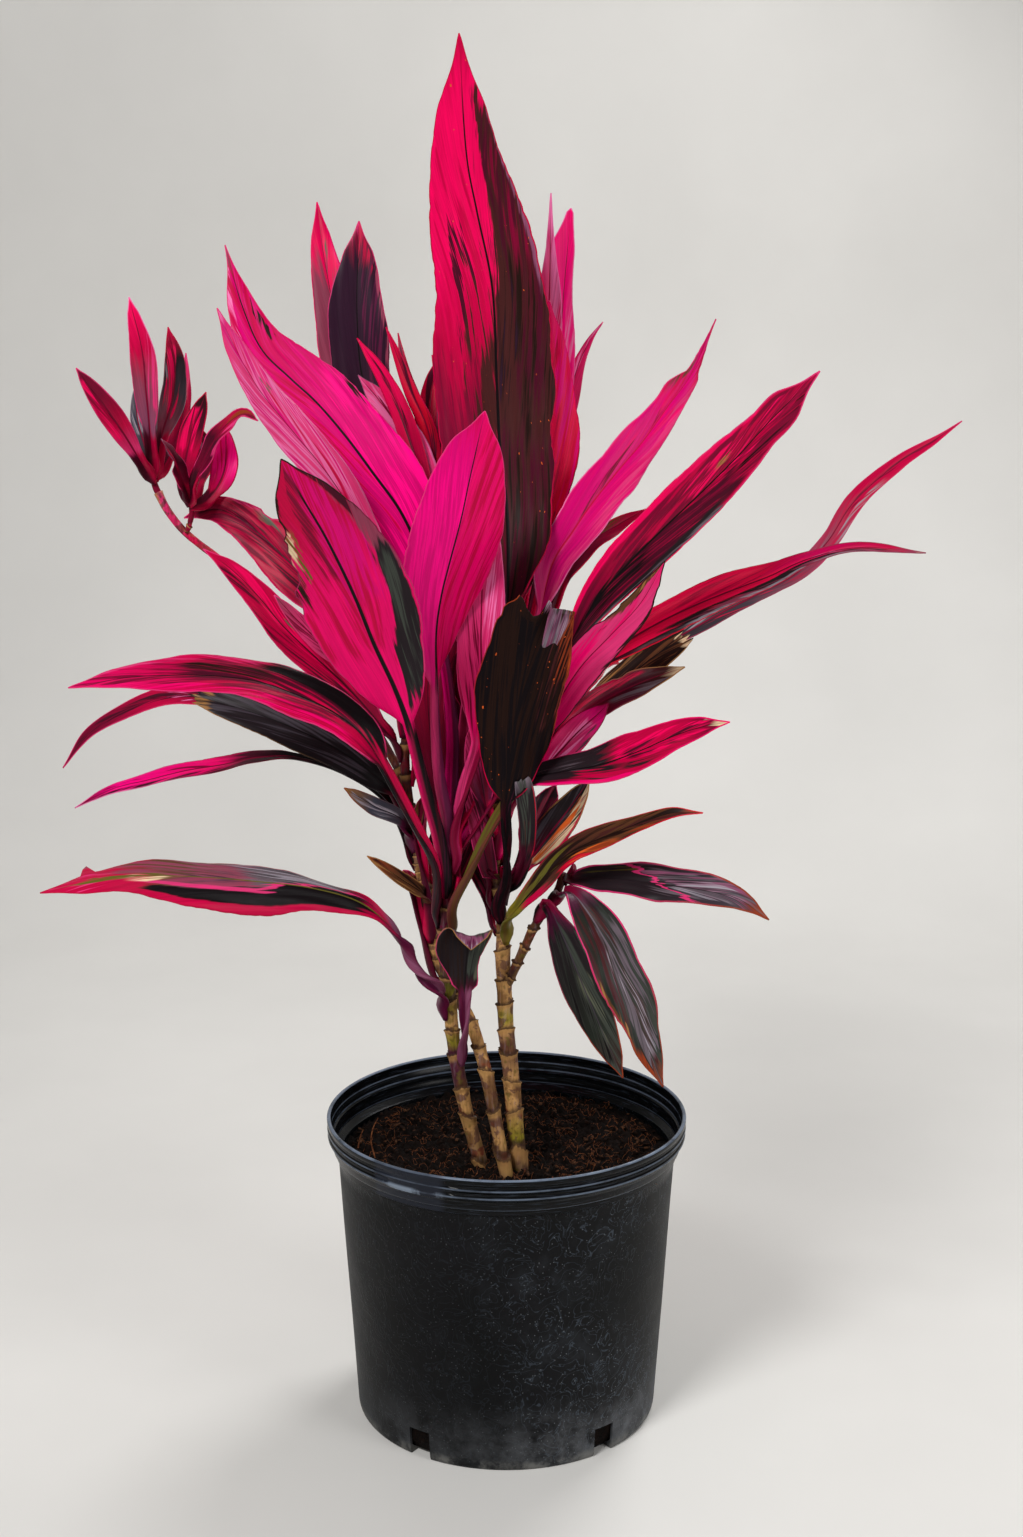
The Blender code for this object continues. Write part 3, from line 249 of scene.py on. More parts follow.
LEAVES = (
    Leaf("leaf_tall_spear", "cane_right", foot=(544, -58), stalk=3, wide=90, face=((0, 10), (0, 10)),
         fold=10, droop=-10, wave=1.6, full=0.9, left=1.02, right=0.93, clasp=3.3,
         line=((499, 692, -37), (502, 655, -35), (506, 618, -29), (508, 580, -18), (507, 510, 4),
               (500, 449, 14), (497, 388, 20), (492, 286, 22), (477, 212, 18), (467, 159, 10),
               (459, 33, -14))),
    Leaf("leaf_tall_crimson", "cane_right", foot=(540, 30), stalk=3, wide=52, face=((20, 5), (20, 10)),
         fold=12, peak=0.5, clasp=3.3,
         line=((511, 690, -36), (516, 640, -28), (519, 600, -12), (525, 540, 12), (538, 470, 36),
               (546, 400, 52), (549, 300, 66))),
    Leaf("leaf_right_magenta", "cane_right", foot=(514, 126), stalk=3, wide=34, face=((10, 25), (30, 10)),
         fold=10, wave=1.6, peak=0.34, full=1.1, clasp=3.5,
         line=((524, 716, -20), (531, 664, -16), (541, 608, -8), (553, 562, 0), (571, 534, 6),
               (590, 506, 14), (616, 473, 26), (643, 441, 40), (668, 406, 54), (690, 376, 66),
               (716, 319, 80))),
    Leaf("leaf_right_crimson", "cane_right", foot=(512, 32), stalk=4, wide=38, face=((0, 25), (0, 15)),
         fold=14, wave=1.6, peak=0.45, full=0.8,
         line=((517, 745, -34), (532, 715, -38), (550, 678, -42), (570, 645, -46), (597, 600, -52),
               (630, 562, -62), (660, 532, -74), (706, 488, -92), (738, 456, -106), (768, 423, -120),
               (798, 393, -130), (820, 371, -136))),
    Leaf("leaf_right_dry_tip", "cane_left", foot=(414, 112), stalk=5, wide=28, fold=12, wave=1.0,
         line=((460, 856, -42), (477, 824, -43), (499, 788, -45), (517, 768, -47), (535, 742, -50),
               (552, 712, -54), (580, 668, -62), (610, 636, -72), (640, 604, -84), (665, 561, -98))),
    Leaf("leaf_right_long_red", "cane_right", foot=(488, 88), stalk=4, wide=30, face=((0, 42), (0, 48)),
         fold=12, peak=0.36,
         line=((524, 766, -24), (545, 733, -22), (567, 700, -20), (588, 673, -18), (622, 645, -17),
               (657, 624, -17), (694, 606, -19), (731, 591, -23), (768, 577, -29), (806, 560, -37),
               (855, 548, -48), (926, 553, -66))),
    Leaf("leaf_far_right_slim", "cane_right", foot=(492, -174), stalk=4, wide=18, face=((0, 30), (0, 10)),
         fold=14, wave=0.8, waves=3,
         line=((520, 762, -2), (555, 725, 14), (605, 688, 36), (655, 652, 56), (710, 619, 76),
               (758, 594, 92), (797, 573, 106), (828, 541, 118), (853, 503, 128), (898, 463, 140),
               (935, 440, 148), (962, 421, 154))),
    Leaf("leaf_right_brown", "cane_right", foot=(470, -165), stalk=3, wide=27, face=((0, 40), (0, 30)),
         fold=10, torn=0.12,
         line=((522, 775, -8), (555, 738, -2), (590, 706, 4), (622, 682, 12), (655, 656, 20),
               (690, 633, 30))),
    Leaf("leaf_right_maroon", "cane_right", foot=(462, 112), stalk=3, wide=24, face=((0, 45), (0, 35)),
         fold=12,
         line=((524, 786, -23), (544, 754, -25), (563, 729, -27), (600, 703, -29), (640, 683, -32),
               (685, 667, -38))),
    Leaf("leaf_right_short_pink", "cane_right", foot=(450, 32), stalk=3, wide=22, face=((0, 20), (0, 20)),
         fold=10,
         line=((513, 808, -40), (530, 784, -41), (547, 766, -41), (563, 748, -42), (581, 729, -42),
               (600, 712, -42), (609, 703, -42))),
    Leaf("leaf_right_twisted", "cane_left", foot=(392, 62), stalk=5, wide=32, face=((0, 55), (0, 20)),
         fold=14, wave=1.6,
         line=((456, 906, -60), (471, 875, -57), (488, 838, -54), (506, 806, -54), (519, 789, -54),
               (534, 778, -57), (562, 772, -68), (600, 765, -84), (640, 751, -102), (674, 736, -116),
               (702, 727, -128), (730, 722, -140))),
    Leaf("leaf_behind_brown", "cane_right", foot=(544, 120), stalk=4, wide=15, face=((0, 30), (0, 30)),
         fold=12, clasp=3.3,
         line=((520, 696, -10), (540, 654, -3), (553, 614, 8), (566, 578, 22), (590, 543, 42),
               (618, 525, 54), (646, 509, 62))),
    Leaf("leaf_behind_front_pink", "cane_left", foot=(444, 62), stalk=3, wide=34, face=((0, 10), (0, 10)),
         fold=8, wave=0.8, clasp=3.6,
         line=((457, 836, -56), (466, 789, -58), (478, 742, -60), (482, 690, -60), (481, 640, -59),
               (482, 590, -57), (484, 530, -54), (487, 470, -50))),
    Leaf("leaf_torn_dark", "cane_right", foot=(402, -12), stalk=3, wide=64, face=((0, -8), (0, -8)),
         fold=-8, full=0.9, torn=0.2,
         line=((504, 880, -50), (505, 840, -62), (506, 800, -70), (510, 770, -76), (515, 726, -86),
               (521, 692, -95), (529, 654, -105), (537, 623, -113), (549, 592, -121))),
    Leaf("leaf_strap_dark", "cane_right", foot=(414, 94), stalk=2, wide=13, face=((10, 0), (10, 0)), fold=6,
         wave=0, full=0.5, torn=0.3,
         line=((519, 880, -46), (526, 852, -57), (528, 825, -66), (526, 800, -72), (522, 776, -75))),
    Leaf("leaf_cream_margin", "cane_right", foot=(436, 78), stalk=2, wide=24, face=((0, 10), (0, 10)),
         fold=10, wave=0.8,
         line=((513, 876, -36), (528, 862, -38), (548, 836, -42), (568, 810, -46), (590, 779, -52))),
    Leaf("leaf_rust_low", "cane_right", foot=(386, 25), stalk=2, wide=19, face=((0, 35), (0, 45)), fold=14,
         wave=1.0,
         line=((509, 922, -52), (521, 905, -62), (537, 886, -74), (556, 864, -86), (575, 850, -96),
               (592, 842, -104), (619, 831, -116), (647, 821, -128), (674, 813, -138), (703, 813, -146))),
    Leaf("leaf_low_right_dark", "branch_right", foot=(440, 95), stalk=1, wide=30, face=((0, 50), (0, 35)),
         wave=1.8, waves=3,
         line=((570, 880, -74), (592, 879, -80), (619, 879, -90), (658, 884, -106), (700, 890, -122),
               (738, 899, -134), (769, 920, -148))),
    Leaf("leaf_drooping_broad", "branch_right", foot=(422, 12), stalk=2, wide=35, face=((10, 35), (15, 10)),
         fold=14, wave=1.8, waves=3,
         line=((562, 896, -86), (571, 893, -100), (586, 910, -114), (606, 943, -128), (620, 977, -137),
               (633, 1005, -142), (643, 1035, -147), (663, 1087, -152))),
    Leaf("leaf_drooping_slim", "branch_right", foot=(410, -35), stalk=2, wide=30,
         face=((-10, 30), (-10, 10)), fold=14, wave=1.4,
         line=((547, 903, -82), (553, 914, -94), (565, 941, -96), (582, 983, -102), (601, 1028, -108),
               (623, 1078, -114))),
    Leaf("leaf_curled_low", "cane_left", foot=(292, 50), stalk=2, wide=46, face=((0, -20), (0, -60)),
         fold=-14, droop=-10, wave=0, peak=0.4, full=0.6,
         line=((467, 1030, -58), (465, 990, -66), (466, 966, -69), (468, 947, -74), (470, 937, -82),
               (471, 938, -91), (471, 950, -97))),
    Leaf("leaf_low_left_arching", "cane_left", foot=(330, -50), stalk=4, wide=46, face=((0, 52), (0, 46)),
         fold=-20, droop=-10, wave=1.8, waves=3, peak=0.5, full=1.0,
         line=((441, 998, -58), (420, 968, -76), (398, 940, -90), (383, 921, -100), (357, 901, -112),
               (312, 888, -128), (262, 882, -144), (200, 877, -162), (130, 876, -182), (88, 882, -194),
               (40, 893, -206))),
    Leaf("leaf_left_arching", "cane_left", foot=(402, -72), stalk=4, wide=43, face=((0, 52), (0, 58)),
         fold=12, droop=-16, wave=1.4, peak=0.4, full=0.75,
         line=((433, 868, -68), (416, 832, -74), (400, 800, -78), (380, 762, -82), (360, 733, -85),
               (331, 711, -89), (294, 694, -94), (258, 682, -101), (210, 676, -112), (137, 677, -131),
               (68, 688, -150))),
    Leaf("leaf_left_broad", "cane_left", foot=(426, -20), stalk=4, wide=76, face=((180, 5), (180, 10)),
         fold=10, droop=-8, wave=1.4, peak=0.46, full=0.8,
         line=((438, 842, -66), (427, 800, -76), (417, 760, -86), (408, 724, -96), (395, 689, -104),
               (374, 644, -120), (354, 595, -138), (325, 536, -160), (303, 499, -174), (281, 459, -188))),
    Leaf("leaf_front_pink", "cane_left", foot=(454, -28), stalk=4, wide=67, face=((225, 0), (180, 5)),
         fold=8, droop=-8, wave=1.0, peak=0.5, full=0.8, clasp=3.6,
         line=((446, 824, -58), (440, 784, -62), (437, 735, -66), (436, 685, -70), (436, 631, -76),
               (441, 596, -81), (449, 564, -86), (461, 519, -93), (469, 482, -98), (485, 411, -106))),
    Leaf("leaf_upper_left_magenta", "cane_left", foot=(457, 176), stalk=4, wide=62, face=((0, 10), (0, 15)),
         fold=10, peak=0.4, full=1.2, clasp=3.6,
         line=((451, 800, -40), (453, 740, -32), (447, 676, -24), (436, 618, -20), (424, 566, -15),
               (402, 514, -10), (373, 473, -4), (347, 438, 4), (317, 403, 14), (291, 379, 24),
               (262, 350, 34), (243, 308, 44), (225, 245, 58))),
    Leaf("leaf_striped_pink", "cane_middle", foot=(584, -58), stalk=2, wide=31, face=((25, 15), (25, 15)),
         fold=14, wave=1.0,
         line=((406, 608, -14), (384, 562, -30), (358, 520, -38), (326, 472, -42), (289, 427, -50),
               (260, 391, -56), (235, 348, -62), (217, 308, -66))),
    Leaf("leaf_top_left_dusty", "cane_middle", foot=(590, -160), stalk=2, wide=34, face=((0, 10), (0, 10)),
         fold=12,
         line=((400, 552, 46), (390, 480, 50), (366, 425, 62), (347, 375, 72), (334, 310, 82),
               (323, 250, 90), (317, 202, 98))),
    Leaf("leaf_top_left_dark", "cane_middle", foot=(616, 140), stalk=2, wide=44, face=((0, 10), (0, 10)),
         fold=12, wave=1.0, peak=0.52,
         line=((416, 553, 33), (402, 480, 30), (378, 425, 36), (362, 375, 42), (357, 310, 46),
               (358, 260, 50), (359, 221, 54))),
    Leaf("leaf_left_dark", "cane_middle", foot=(484, -58), stalk=1, wide=31, face=((0, 20), (0, 40)),
         fold=12, torn=0.1,
         line=((392, 790, -22), (372, 773, -26), (340, 751, -26), (300, 731, -24), (260, 715, -20),
               (225, 704, -16), (186, 694, -10))),
    Leaf("leaf_left_red_strip", "cane_middle", foot=(466, -112), stalk=2, wide=17, face=((0, 40), (0, 30)),
         fold=14, wave=0.8,
         line=((379, 774, -8), (337, 738, 14), (290, 716, 34), (240, 702, 50), (193, 695, 64),
               (161, 698, 74), (125, 711, 82), (89, 733, 88), (63, 768, 92))),
    Leaf("leaf_left_thin_pink", "cane_middle", foot=(438, -125), stalk=3, wide=17, face=((0, 55), (0, 45)),
         wave=0.8,
         line=((388, 804, -2), (345, 773, 18), (296, 758, 40), (256, 758, 58), (222, 765, 74),
               (185, 771, 90), (149, 780, 106), (113, 789, 120), (75, 808, 132))),
    Leaf("leaf_left_small_grey", "cane_middle", foot=(452, -48), stalk=1, wide=13, face=((0, 30), (0, 30)),
         fold=10, wave=0.5,
         line=((402, 820, -32), (374, 806, -44), (344, 788, -56))),
    Leaf("leaf_sheath_brown", "cane_middle", foot=(404, -35), stalk=1, wide=10, face=((0, 40), (0, 40)),
         fold=20, wave=0,
         line=((421, 893, -36), (398, 877, -44), (367, 856, -52))),
    Leaf("leaf_far_left_folded", "cane_middle", foot=(552, -100), stalk=2, wide=39, fold=14, wave=1.6,
         peak=0.32,
         line=((370, 680, 10), (334, 614, 22), (308, 582, 30), (283, 556, 38), (262, 536, 46),
               (240, 519, 53), (215, 509, 60), (184, 518, 68))),
    Leaf("leaf_left_crimson", "cane_middle", foot=(518, -70), stalk=1, wide=27, face=((0, 20), (0, 20)),
         fold=14, wave=1.0,
         line=((378, 722, -10), (345, 685, -12), (313, 655, -14), (282, 625, -16), (258, 596, -18),
               (232, 570, -20), (203, 549, -22))),
    Leaf("leaf_left_dusty_small", "cane_middle", foot=(536, -40), stalk=2, wide=14, face=((0, 20), (0, 20)),
         fold=12, wave=0.6,
         line=((388, 700, -16), (354, 668, -26), (329, 650, -34), (300, 623, -42), (274, 595, -50))),
)


@dataclass
class Tip:
    """A growing tip: a stub that carries on from its stem's end, and the small leaves that grow from it.

    The stub's points give photo column and row, depth in mm and radius in mm. Each small leaf is its midrib,
    its greatest width in mm, and where its upper side looks.
    """
    name: str
    stem: str
    stub: tuple
    blades: tuple


TIPS = (
    Tip("tip_right", "cane_right", (
        (502, 695, -22, 2.7), (505, 672, -18, 2.0), (508, 650, -14, 1.0),
    ), (
        (((503, 702, -21), (520, 620, 14), (534, 520, 54), (543, 400, 84), (549, 300, 98),
          (551, 193, 108)), 25, (0, 10)),
        (((503, 704, -21), (526, 630, 24), (546, 520, 80), (557, 400, 112), (563, 300, 126),
          (571, 208, 138)), 24, (20, 10)),
        (((504, 706, -22), (534, 620, 34), (558, 470, 104), (575, 375, 142), (590, 340, 156),
          (603, 322, 166)), 14, (10, 20)),
        (((503, 705, -21), (508, 640, -4), (517, 583, 18), (528, 550, 30), (541, 525, 37),
          (560, 515, 42)), 12, (0, 20)),
    )),
    Tip("tip_left", "cane_middle", (
        (438, 580, 16, 2.7), (440, 560, 18, 2.0), (441, 540, 19, 1.0),
    ), (
        (((437, 588, 14), (424, 490, 12), (405, 424, 12), (384, 378, 14), (357, 338, 18)), 15, (0, 10)),
        (((437, 586, 15), (430, 500, 16), (412, 450, 18), (385, 408, 20), (358, 375, 22)), 25, (0, 10)),
        (((437, 592, 15), (436, 480, 22), (428, 430, 24), (410, 390, 22), (395, 350, 22),
          (386, 327, 24)), 11, (0, 10)),
        (((437, 588, 16), (434, 470, 30), (419, 410, 38), (405, 369, 44), (398, 333, 50)), 9, (0, 10)),
        (((438, 586, 17), (440, 480, 48), (430, 420, 64), (434, 380, 76), (450, 345, 88)), 18, (0, 10)),
        (((438, 584, 17), (441, 470, 40), (442, 400, 48), (432, 355, 54)), 11, (0, 10)),
    )),
    Tip("tip_far_left_upper", "branch_far_left", (
        (153, 478, 61, 2.3), (151, 464, 61, 1.7), (150, 452, 61, 1.0),
    ), (
        (((154, 480, 60), (151, 440, 54), (146, 390, 46), (142, 350, 42), (129, 297, 38)), 19, (0, 5)),
        (((155, 482, 61), (160, 440, 66), (172, 400, 72), (175, 365, 76), (168, 327, 82)), 19, (30, 5)),
        (((155, 484, 60), (140, 460, 44), (120, 428, 28), (98, 397, 14), (76, 368, 2)), 17, (0, 15)),
        (((154, 479, 63), (146, 450, 82), (137, 415, 98), (137, 382, 108)), 10, (0, 10)),
        (((155, 481, 62), (170, 455, 84), (184, 410, 106), (186, 353, 124)), 9, (0, 10)),
        (((155, 483, 63), (162, 460, 90), (160, 430, 124), (148, 412, 150)), 16, (0, 40)),
    )),
    Tip("tip_far_left_lower", "shoot_far_left", (
        (191, 505, 50, 1.8), (190, 494, 49, 1.0),
    ), (
        (((190, 507, 49), (184, 480, 42), (190, 440, 36), (206, 392, 30)), 17, (0, 5)),
        (((191, 508, 49), (200, 470, 24), (222, 430, 4), (244, 414, -8), (258, 421, -18)), 15, (0, 40)),
        (((191, 509, 50), (208, 500, 56), (224, 472, 62), (226, 426, 66)), 19, (0, 10)),
        (((190, 504, 49), (184, 485, 32), (174, 458, 10), (161, 439, -8)), 12, (0, 40)),
        (((191, 507, 51), (200, 480, 74), (205, 450, 98), (194, 425, 120)), 15, (0, 40)),
    )),
)


@dataclass
class BackLeaf(Leaf):
    """A leaf at the back, out of the photo's sight. It leaves its stem at an angle and bends on outward."""
    line: tuple = ()
    stalk: int = 1
    wide: float = 50
    long: tuple = (0.06, 0.28)  # length of the stalk and of the blade
    way: float = 180  # azimuth that it leans towards
    lean: float = 20  # degrees from upright at the foot
    bow: float = 70  # degrees that it bends on from there to the tip
    wave: float = 1.6


BACK_LEAVES = (
    BackLeaf("leaf_back_upper", "cane_right", foot=(538, -150), wide=56, clasp=3.3, long=(0.08, 0.29),
             way=176, lean=40, bow=46),
    BackLeaf("leaf_back_left", "cane_right", foot=(510, -144), wide=50, clasp=3.5, long=(0.08, 0.27),
             way=-150, lean=34, bow=70),
    BackLeaf("leaf_back_right", "cane_right", foot=(442, 166), wide=48, long=(0.07, 0.25), way=158,
             lean=36, bow=80),
    BackLeaf("leaf_back_high_left", "cane_middle", foot=(566, 156), wide=54, long=(0.06, 0.28), way=176,
             lean=32, bow=58),
    BackLeaf("leaf_back_middle", "cane_middle", foot=(532, 168), wide=54, long=(0.08, 0.28), way=-155,
             lean=30, bow=80),
    BackLeaf("leaf_back_low", "cane_middle", foot=(418, 165), wide=46, long=(0.06, 0.26), way=165,
             lean=44, bow=92),
)


@dataclass
class InnerLeaf(Leaf):
    """A small leaf inside the crown, between the large leaves' stalks. Only this script adds these."""
    face: tuple = ((0, 10), (0, 10))
    fold: float = 12


INNER_LEAVES = (
    InnerLeaf("inner_leaf_1", "cane_left", foot=(430, 150), stalk=2, wide=22, face=((0, 10), (10, 10)),
              line=((458, 850, -38), (466, 800, -34), (471, 750, -32), (477, 700, -30), (480, 650, -26),
                    (482, 606, -22))),
    InnerLeaf("inner_leaf_2", "cane_left", foot=(438, -150), stalk=2, wide=24, face=((-10, 10), (0, 10)),
              line=((443, 845, -36), (437, 800, -28), (432, 750, -24), (428, 700, -20), (431, 650, -14),
                    (440, 606, -8))),
    InnerLeaf("inner_leaf_3", "cane_left", foot=(448, 100), stalk=2, wide=17, face=((20, 0), (20, 0)),
              fold=10,
              line=((460, 830, -44), (472, 790, -42), (482, 750, -38), (490, 712, -34))),
    InnerLeaf("inner_leaf_4", "cane_right", foot=(408, -90), stalk=3, wide=22, face=((0, 10), (-10, 10)),
              line=((488, 884, -28), (479, 852, -22), (468, 818, -14), (461, 780, -6), (457, 735, 2),
                    (452, 690, 10))),
    InnerLeaf("inner_leaf_5", "cane_right", foot=(474, -60), stalk=2, wide=20,
              line=((492, 835, -40), (485, 800, -46), (478, 762, -48), (470, 726, -50))),
    InnerLeaf("inner_leaf_6", "cane_right", foot=(452, 60), stalk=2, wide=24, face=((0, 15), (10, 15)),
              line=((508, 812, -32), (519, 775, -28), (530, 735, -24), (541, 692, -18), (556, 650, -10))),
    InnerLeaf("inner_leaf_7", "cane_middle", foot=(452, 60), stalk=1, wide=22, face=((10, 10), (0, 10)),
              line=((428, 800, -4), (438, 760, 2), (446, 718, 8), (450, 672, 14), (453, 624, 18))),
    InnerLeaf("inner_leaf_8", "cane_middle", foot=(500, 90), stalk=1, wide=24,
              line=((424, 704, 10), (440, 654, 16), (451, 604, 24), (457, 556, 30))),
    InnerLeaf("inner_leaf_9", "cane_right", foot=(500, -60), stalk=1, wide=22,
              line=((490, 748, -30), (479, 706, -34), (469, 664, -36), (463, 624, -38))),
    InnerLeaf("inner_leaf_10", "cane_right", foot=(424, 150), stalk=2, wide=24, face=((10, 20), (10, 20)),
              line=((512, 884, -20), (526, 848, -8), (540, 815, 2), (556, 784, 12))),
    InnerLeaf("inner_leaf_11", "cane_right", foot=(462, 170), stalk=2, wide=24,
              line=((500, 800, -8), (503, 760, 6), (512, 715, 18), (524, 668, 28), (534, 624, 34))),
    InnerLeaf("inner_leaf_12", "cane_middle", foot=(384, -20), stalk=1, wide=9, face=((0, 0), (0, 0)),
              fold=20,
              line=((418, 828, -20), (419, 816, -22), (421, 798, -22))),
    InnerLeaf("inner_leaf_13", "cane_middle", foot=(352, -80), stalk=1, wide=9, face=((0, 30), (0, 30)),
              fold=20,
              line=((413, 884, -18), (409, 878, -20), (403, 870, -20))),
    InnerLeaf("inner_leaf_14", "cane_right", foot=(392, -100), stalk=1, wide=17,
              line=((489, 898, -26), (480, 870, -18), (469, 845, -14), (460, 815, -8), (452, 786, -2))),
    InnerLeaf("inner_leaf_15", "cane_right", foot=(440, -40), stalk=1, wide=15,
              line=((491, 878, -40), (484, 850, -44), (479, 822, -46), (471, 794, -44), (466, 770, -42))),
    InnerLeaf("inner_leaf_16", "cane_left", foot=(425, 90), stalk=1, wide=18,
              line=((456, 880, -30), (466, 850, -22), (476, 815, -14), (484, 785, -8), (490, 752, -2))),
)


# Leaves with stout stalks, and how many times as wide
STOUT = {"leaf_left_arching": 1.45, "leaf_left_broad": 1.3, "leaf_behind_front_pink": 1.3,
         "leaf_right_dry_tip": 1.3, "leaf_right_twisted": 1.3, "leaf_low_left_arching": 1.35,
         "leaf_upper_left_magenta": 1.25}

# Leaves whose end rolls over: from which share of the blade on, beyond which share of the width, how much
# longer the end is than it looks, the roll's radius, and the most it turns in degrees
ROLLED = {"leaf_torn_dark": (0.925, 0.25, 1.5, 0.0034, 165)}
# A small leaf of a tip that stays broad up to its end, and how full it is
BLUNT = {"tip_right_blade_1": 0.3}

# Where an edge is eaten away or drawn in: side, -1 left and 1 right, from which share of the blade to which,
# and how much of the half. Under 0 it is broader there
BITES = {
    "leaf_left_broad": ((1, (0.46, 0.54), 0.10), (1, (0.56, 0.82), 0.20)),
    "leaf_left_crimson": ((1, (0.47, 0.58), 0.35),),
    "leaf_right_dry_tip": ((-1, (0.58, 0.72), 0.22), (1, (0.80, 0.90), 0.20)),
    "leaf_right_brown": ((1, (0.35, 0.60), 0.30), (-1, (0.70, 0.90), 0.25)),
    "leaf_right_maroon": ((-1, (0.50, 0.60), 0.20),),
    "leaf_right_long_red": ((1, (0.30, 0.34), 0.12), (-1, (0.42, 1.15), 0.4), (1, (0.34, 1.15), 0.5)),
    "leaf_far_right_slim": ((1, (0.05, 0.62), 0.4), (-1, (0.3, 0.75), 0.3)),
    "leaf_right_magenta": ((-1, (0.80, 1.02), 0.5), (1, (0.82, 1.02), 0.5), (-1, (0.44, 0.68), -0.18),
                           (1, (0.36, 0.54), -0.12), (-1, (0.70, 0.82), -0.3)),
    "leaf_tall_crimson": ((1, (0.35, 0.75), -0.14),),
    "leaf_curled_low": ((1, (-0.35, 0.85), 0.58), (-1, (-0.3, 0.42), 0.4)),
    "tip_right_blade_0": ((-1, (0.70, 1.12), 0.55), (1, (0.70, 1.12), 0.55)),
    "tip_right_blade_1": ((-1, (0.66, 1.06), -0.8), (1, (0.60, 1.15), 0.4)),
    "tip_right_blade_2": ((-1, (0.60, 0.90), -0.4), (1, (0.60, 0.90), -0.4)),
    "leaf_upper_left_magenta": ((1, (0.50, 0.53), 0.09),),
    "leaf_torn_dark": ((1, (0.55, 0.60), 0.05), (-1, (0.80, 0.86), 0.06)),
    "leaf_low_left_arching": ((-1, (0.60, 0.96), 0.42), (1, (0.84, 0.885), -1.1)),
    "leaf_right_crimson": ((-1, (0.80, 0.97), -0.30), (1, (0.78, 0.98), -0.30)),
    "leaf_drooping_broad": ((1, (0.66, 0.80), 0.16), (1, (0.50, 0.56), 0.08)),
    "leaf_left_dark": ((1, (0.62, 0.68), 0.14), (1, (0.76, 0.84), 0.18)),
    "leaf_far_left_folded": ((1, (0.52, 0.62), 0.16),),
    "leaf_back_middle": ((1, (0.60, 0.66), 0.12),),
}


def tone(red, green, blue):
    """A colour as it shows on a screen, 0 to 255, as the light that a surface gives back."""
    shares = [c / 255 for c in (red, green, blue)]
    return tuple(((c + 0.055) / 1.055) ** 2.4 if c > 0.04 else c / 12.92 for c in shares)


TONES = {
    "hot": tone(246, 0, 128), "blaze": tone(250, 4, 76), "pink": tone(228, 0, 98), "red": tone(200, 8, 44),
    "crimson": tone(186, 0, 60), "flame": tone(232, 0, 84), "magenta": tone(206, 0, 106),
    "pale": tone(232, 112, 168),
    "rose": tone(214, 50, 112), "dusty": tone(140, 58, 82), "wine": tone(116, 6, 44),
    "maroon": tone(70, 10, 32),
    "charcoal": tone(34, 26, 30), "black": tone(16, 10, 13), "grey": tone(62, 54, 62),
    # silver_sheen is painted sheen: pale streaks and edges that stand for soft reflections on the glossy
    # leaves
    "slate": tone(58, 60, 72), "ash": tone(98, 86, 94), "silver_sheen": tone(146, 138, 148),
    "aubergine": tone(44, 20, 38), "bronze": tone(66, 28, 28), "umber": tone(32, 17, 13),
    "rust": tone(138, 54, 26), "orange": tone(206, 90, 34), "sage": tone(88, 90, 74),
    "olive": tone(96, 90, 32), "lime": tone(134, 122, 34), "brown": tone(92, 56, 34),
    "dry": tone(150, 106, 60), "cream": tone(226, 200, 160), "plum": tone(84, 20, 54),
    "mauve": tone(128, 70, 98), "tan": tone(184, 138, 84), "bark": tone(112, 84, 58),
    "scar": tone(44, 26, 20), "violet": tone(78, 46, 48), "fern": tone(58, 62, 56), "moss": tone(34, 38, 32),
}


# rim_highlight is a painted highlight: the pale lines along the rim's lip and ridges
POT_TONES = {
    "black": tone(4, 5, 6), "faded": tone(11, 11, 14), "line": tone(80, 90, 102), "haze": tone(72, 77, 84),
    "speck": tone(150, 156, 162), "dust": tone(106, 108, 112), "hem": tone(130, 128, 122),
    "scratch": tone(96, 108, 126), "rim_highlight": tone(112, 124, 142), "patch": tone(40, 44, 56),
    "scuff": tone(128, 140, 156),
}


@dataclass
class Stroke:
    """A colour laid over a part of a blade, from one share of its length to another: 0 its start, 1 its tip.

    across is how far it reaches at its first end, from -1, the left edge, to 1, the right edge, looking along
    the leaf with its upper side up, and then is the same for its last end. Where there is under 1 it breaks
    into streaks, and about that share of it is left. soft is how far its borders blur.
    """
    paint: str
    along: tuple
    across: tuple
    there: float = 1.0
    then: tuple = ()
    soft: float = 0.03


@dataclass
class Look:
    """How a leaf looks: its ground, by how far along its blade it is, and the strokes over that."""
    ground: tuple
    strokes: tuple = ()
    rib: tuple = ("wine", 0.9)  # colour, and half its width in mm
    edge: tuple = ("crimson", "crimson", 0.8)  # colours at the start and at the tip, and the width in mm: the margin's own colour, and a painted rim highlight where it is pale
    stalk: tuple = ("maroon", "crimson")  # its left and its right side: its own colour, with one side painted lit and the other painted in shade
    spots: float = 0.0  # how many small orange spots
    gloss: float = 0.38  # how rough the surface is
    mirror: float = LEAF_MIRROR  # how strongly it mirrors


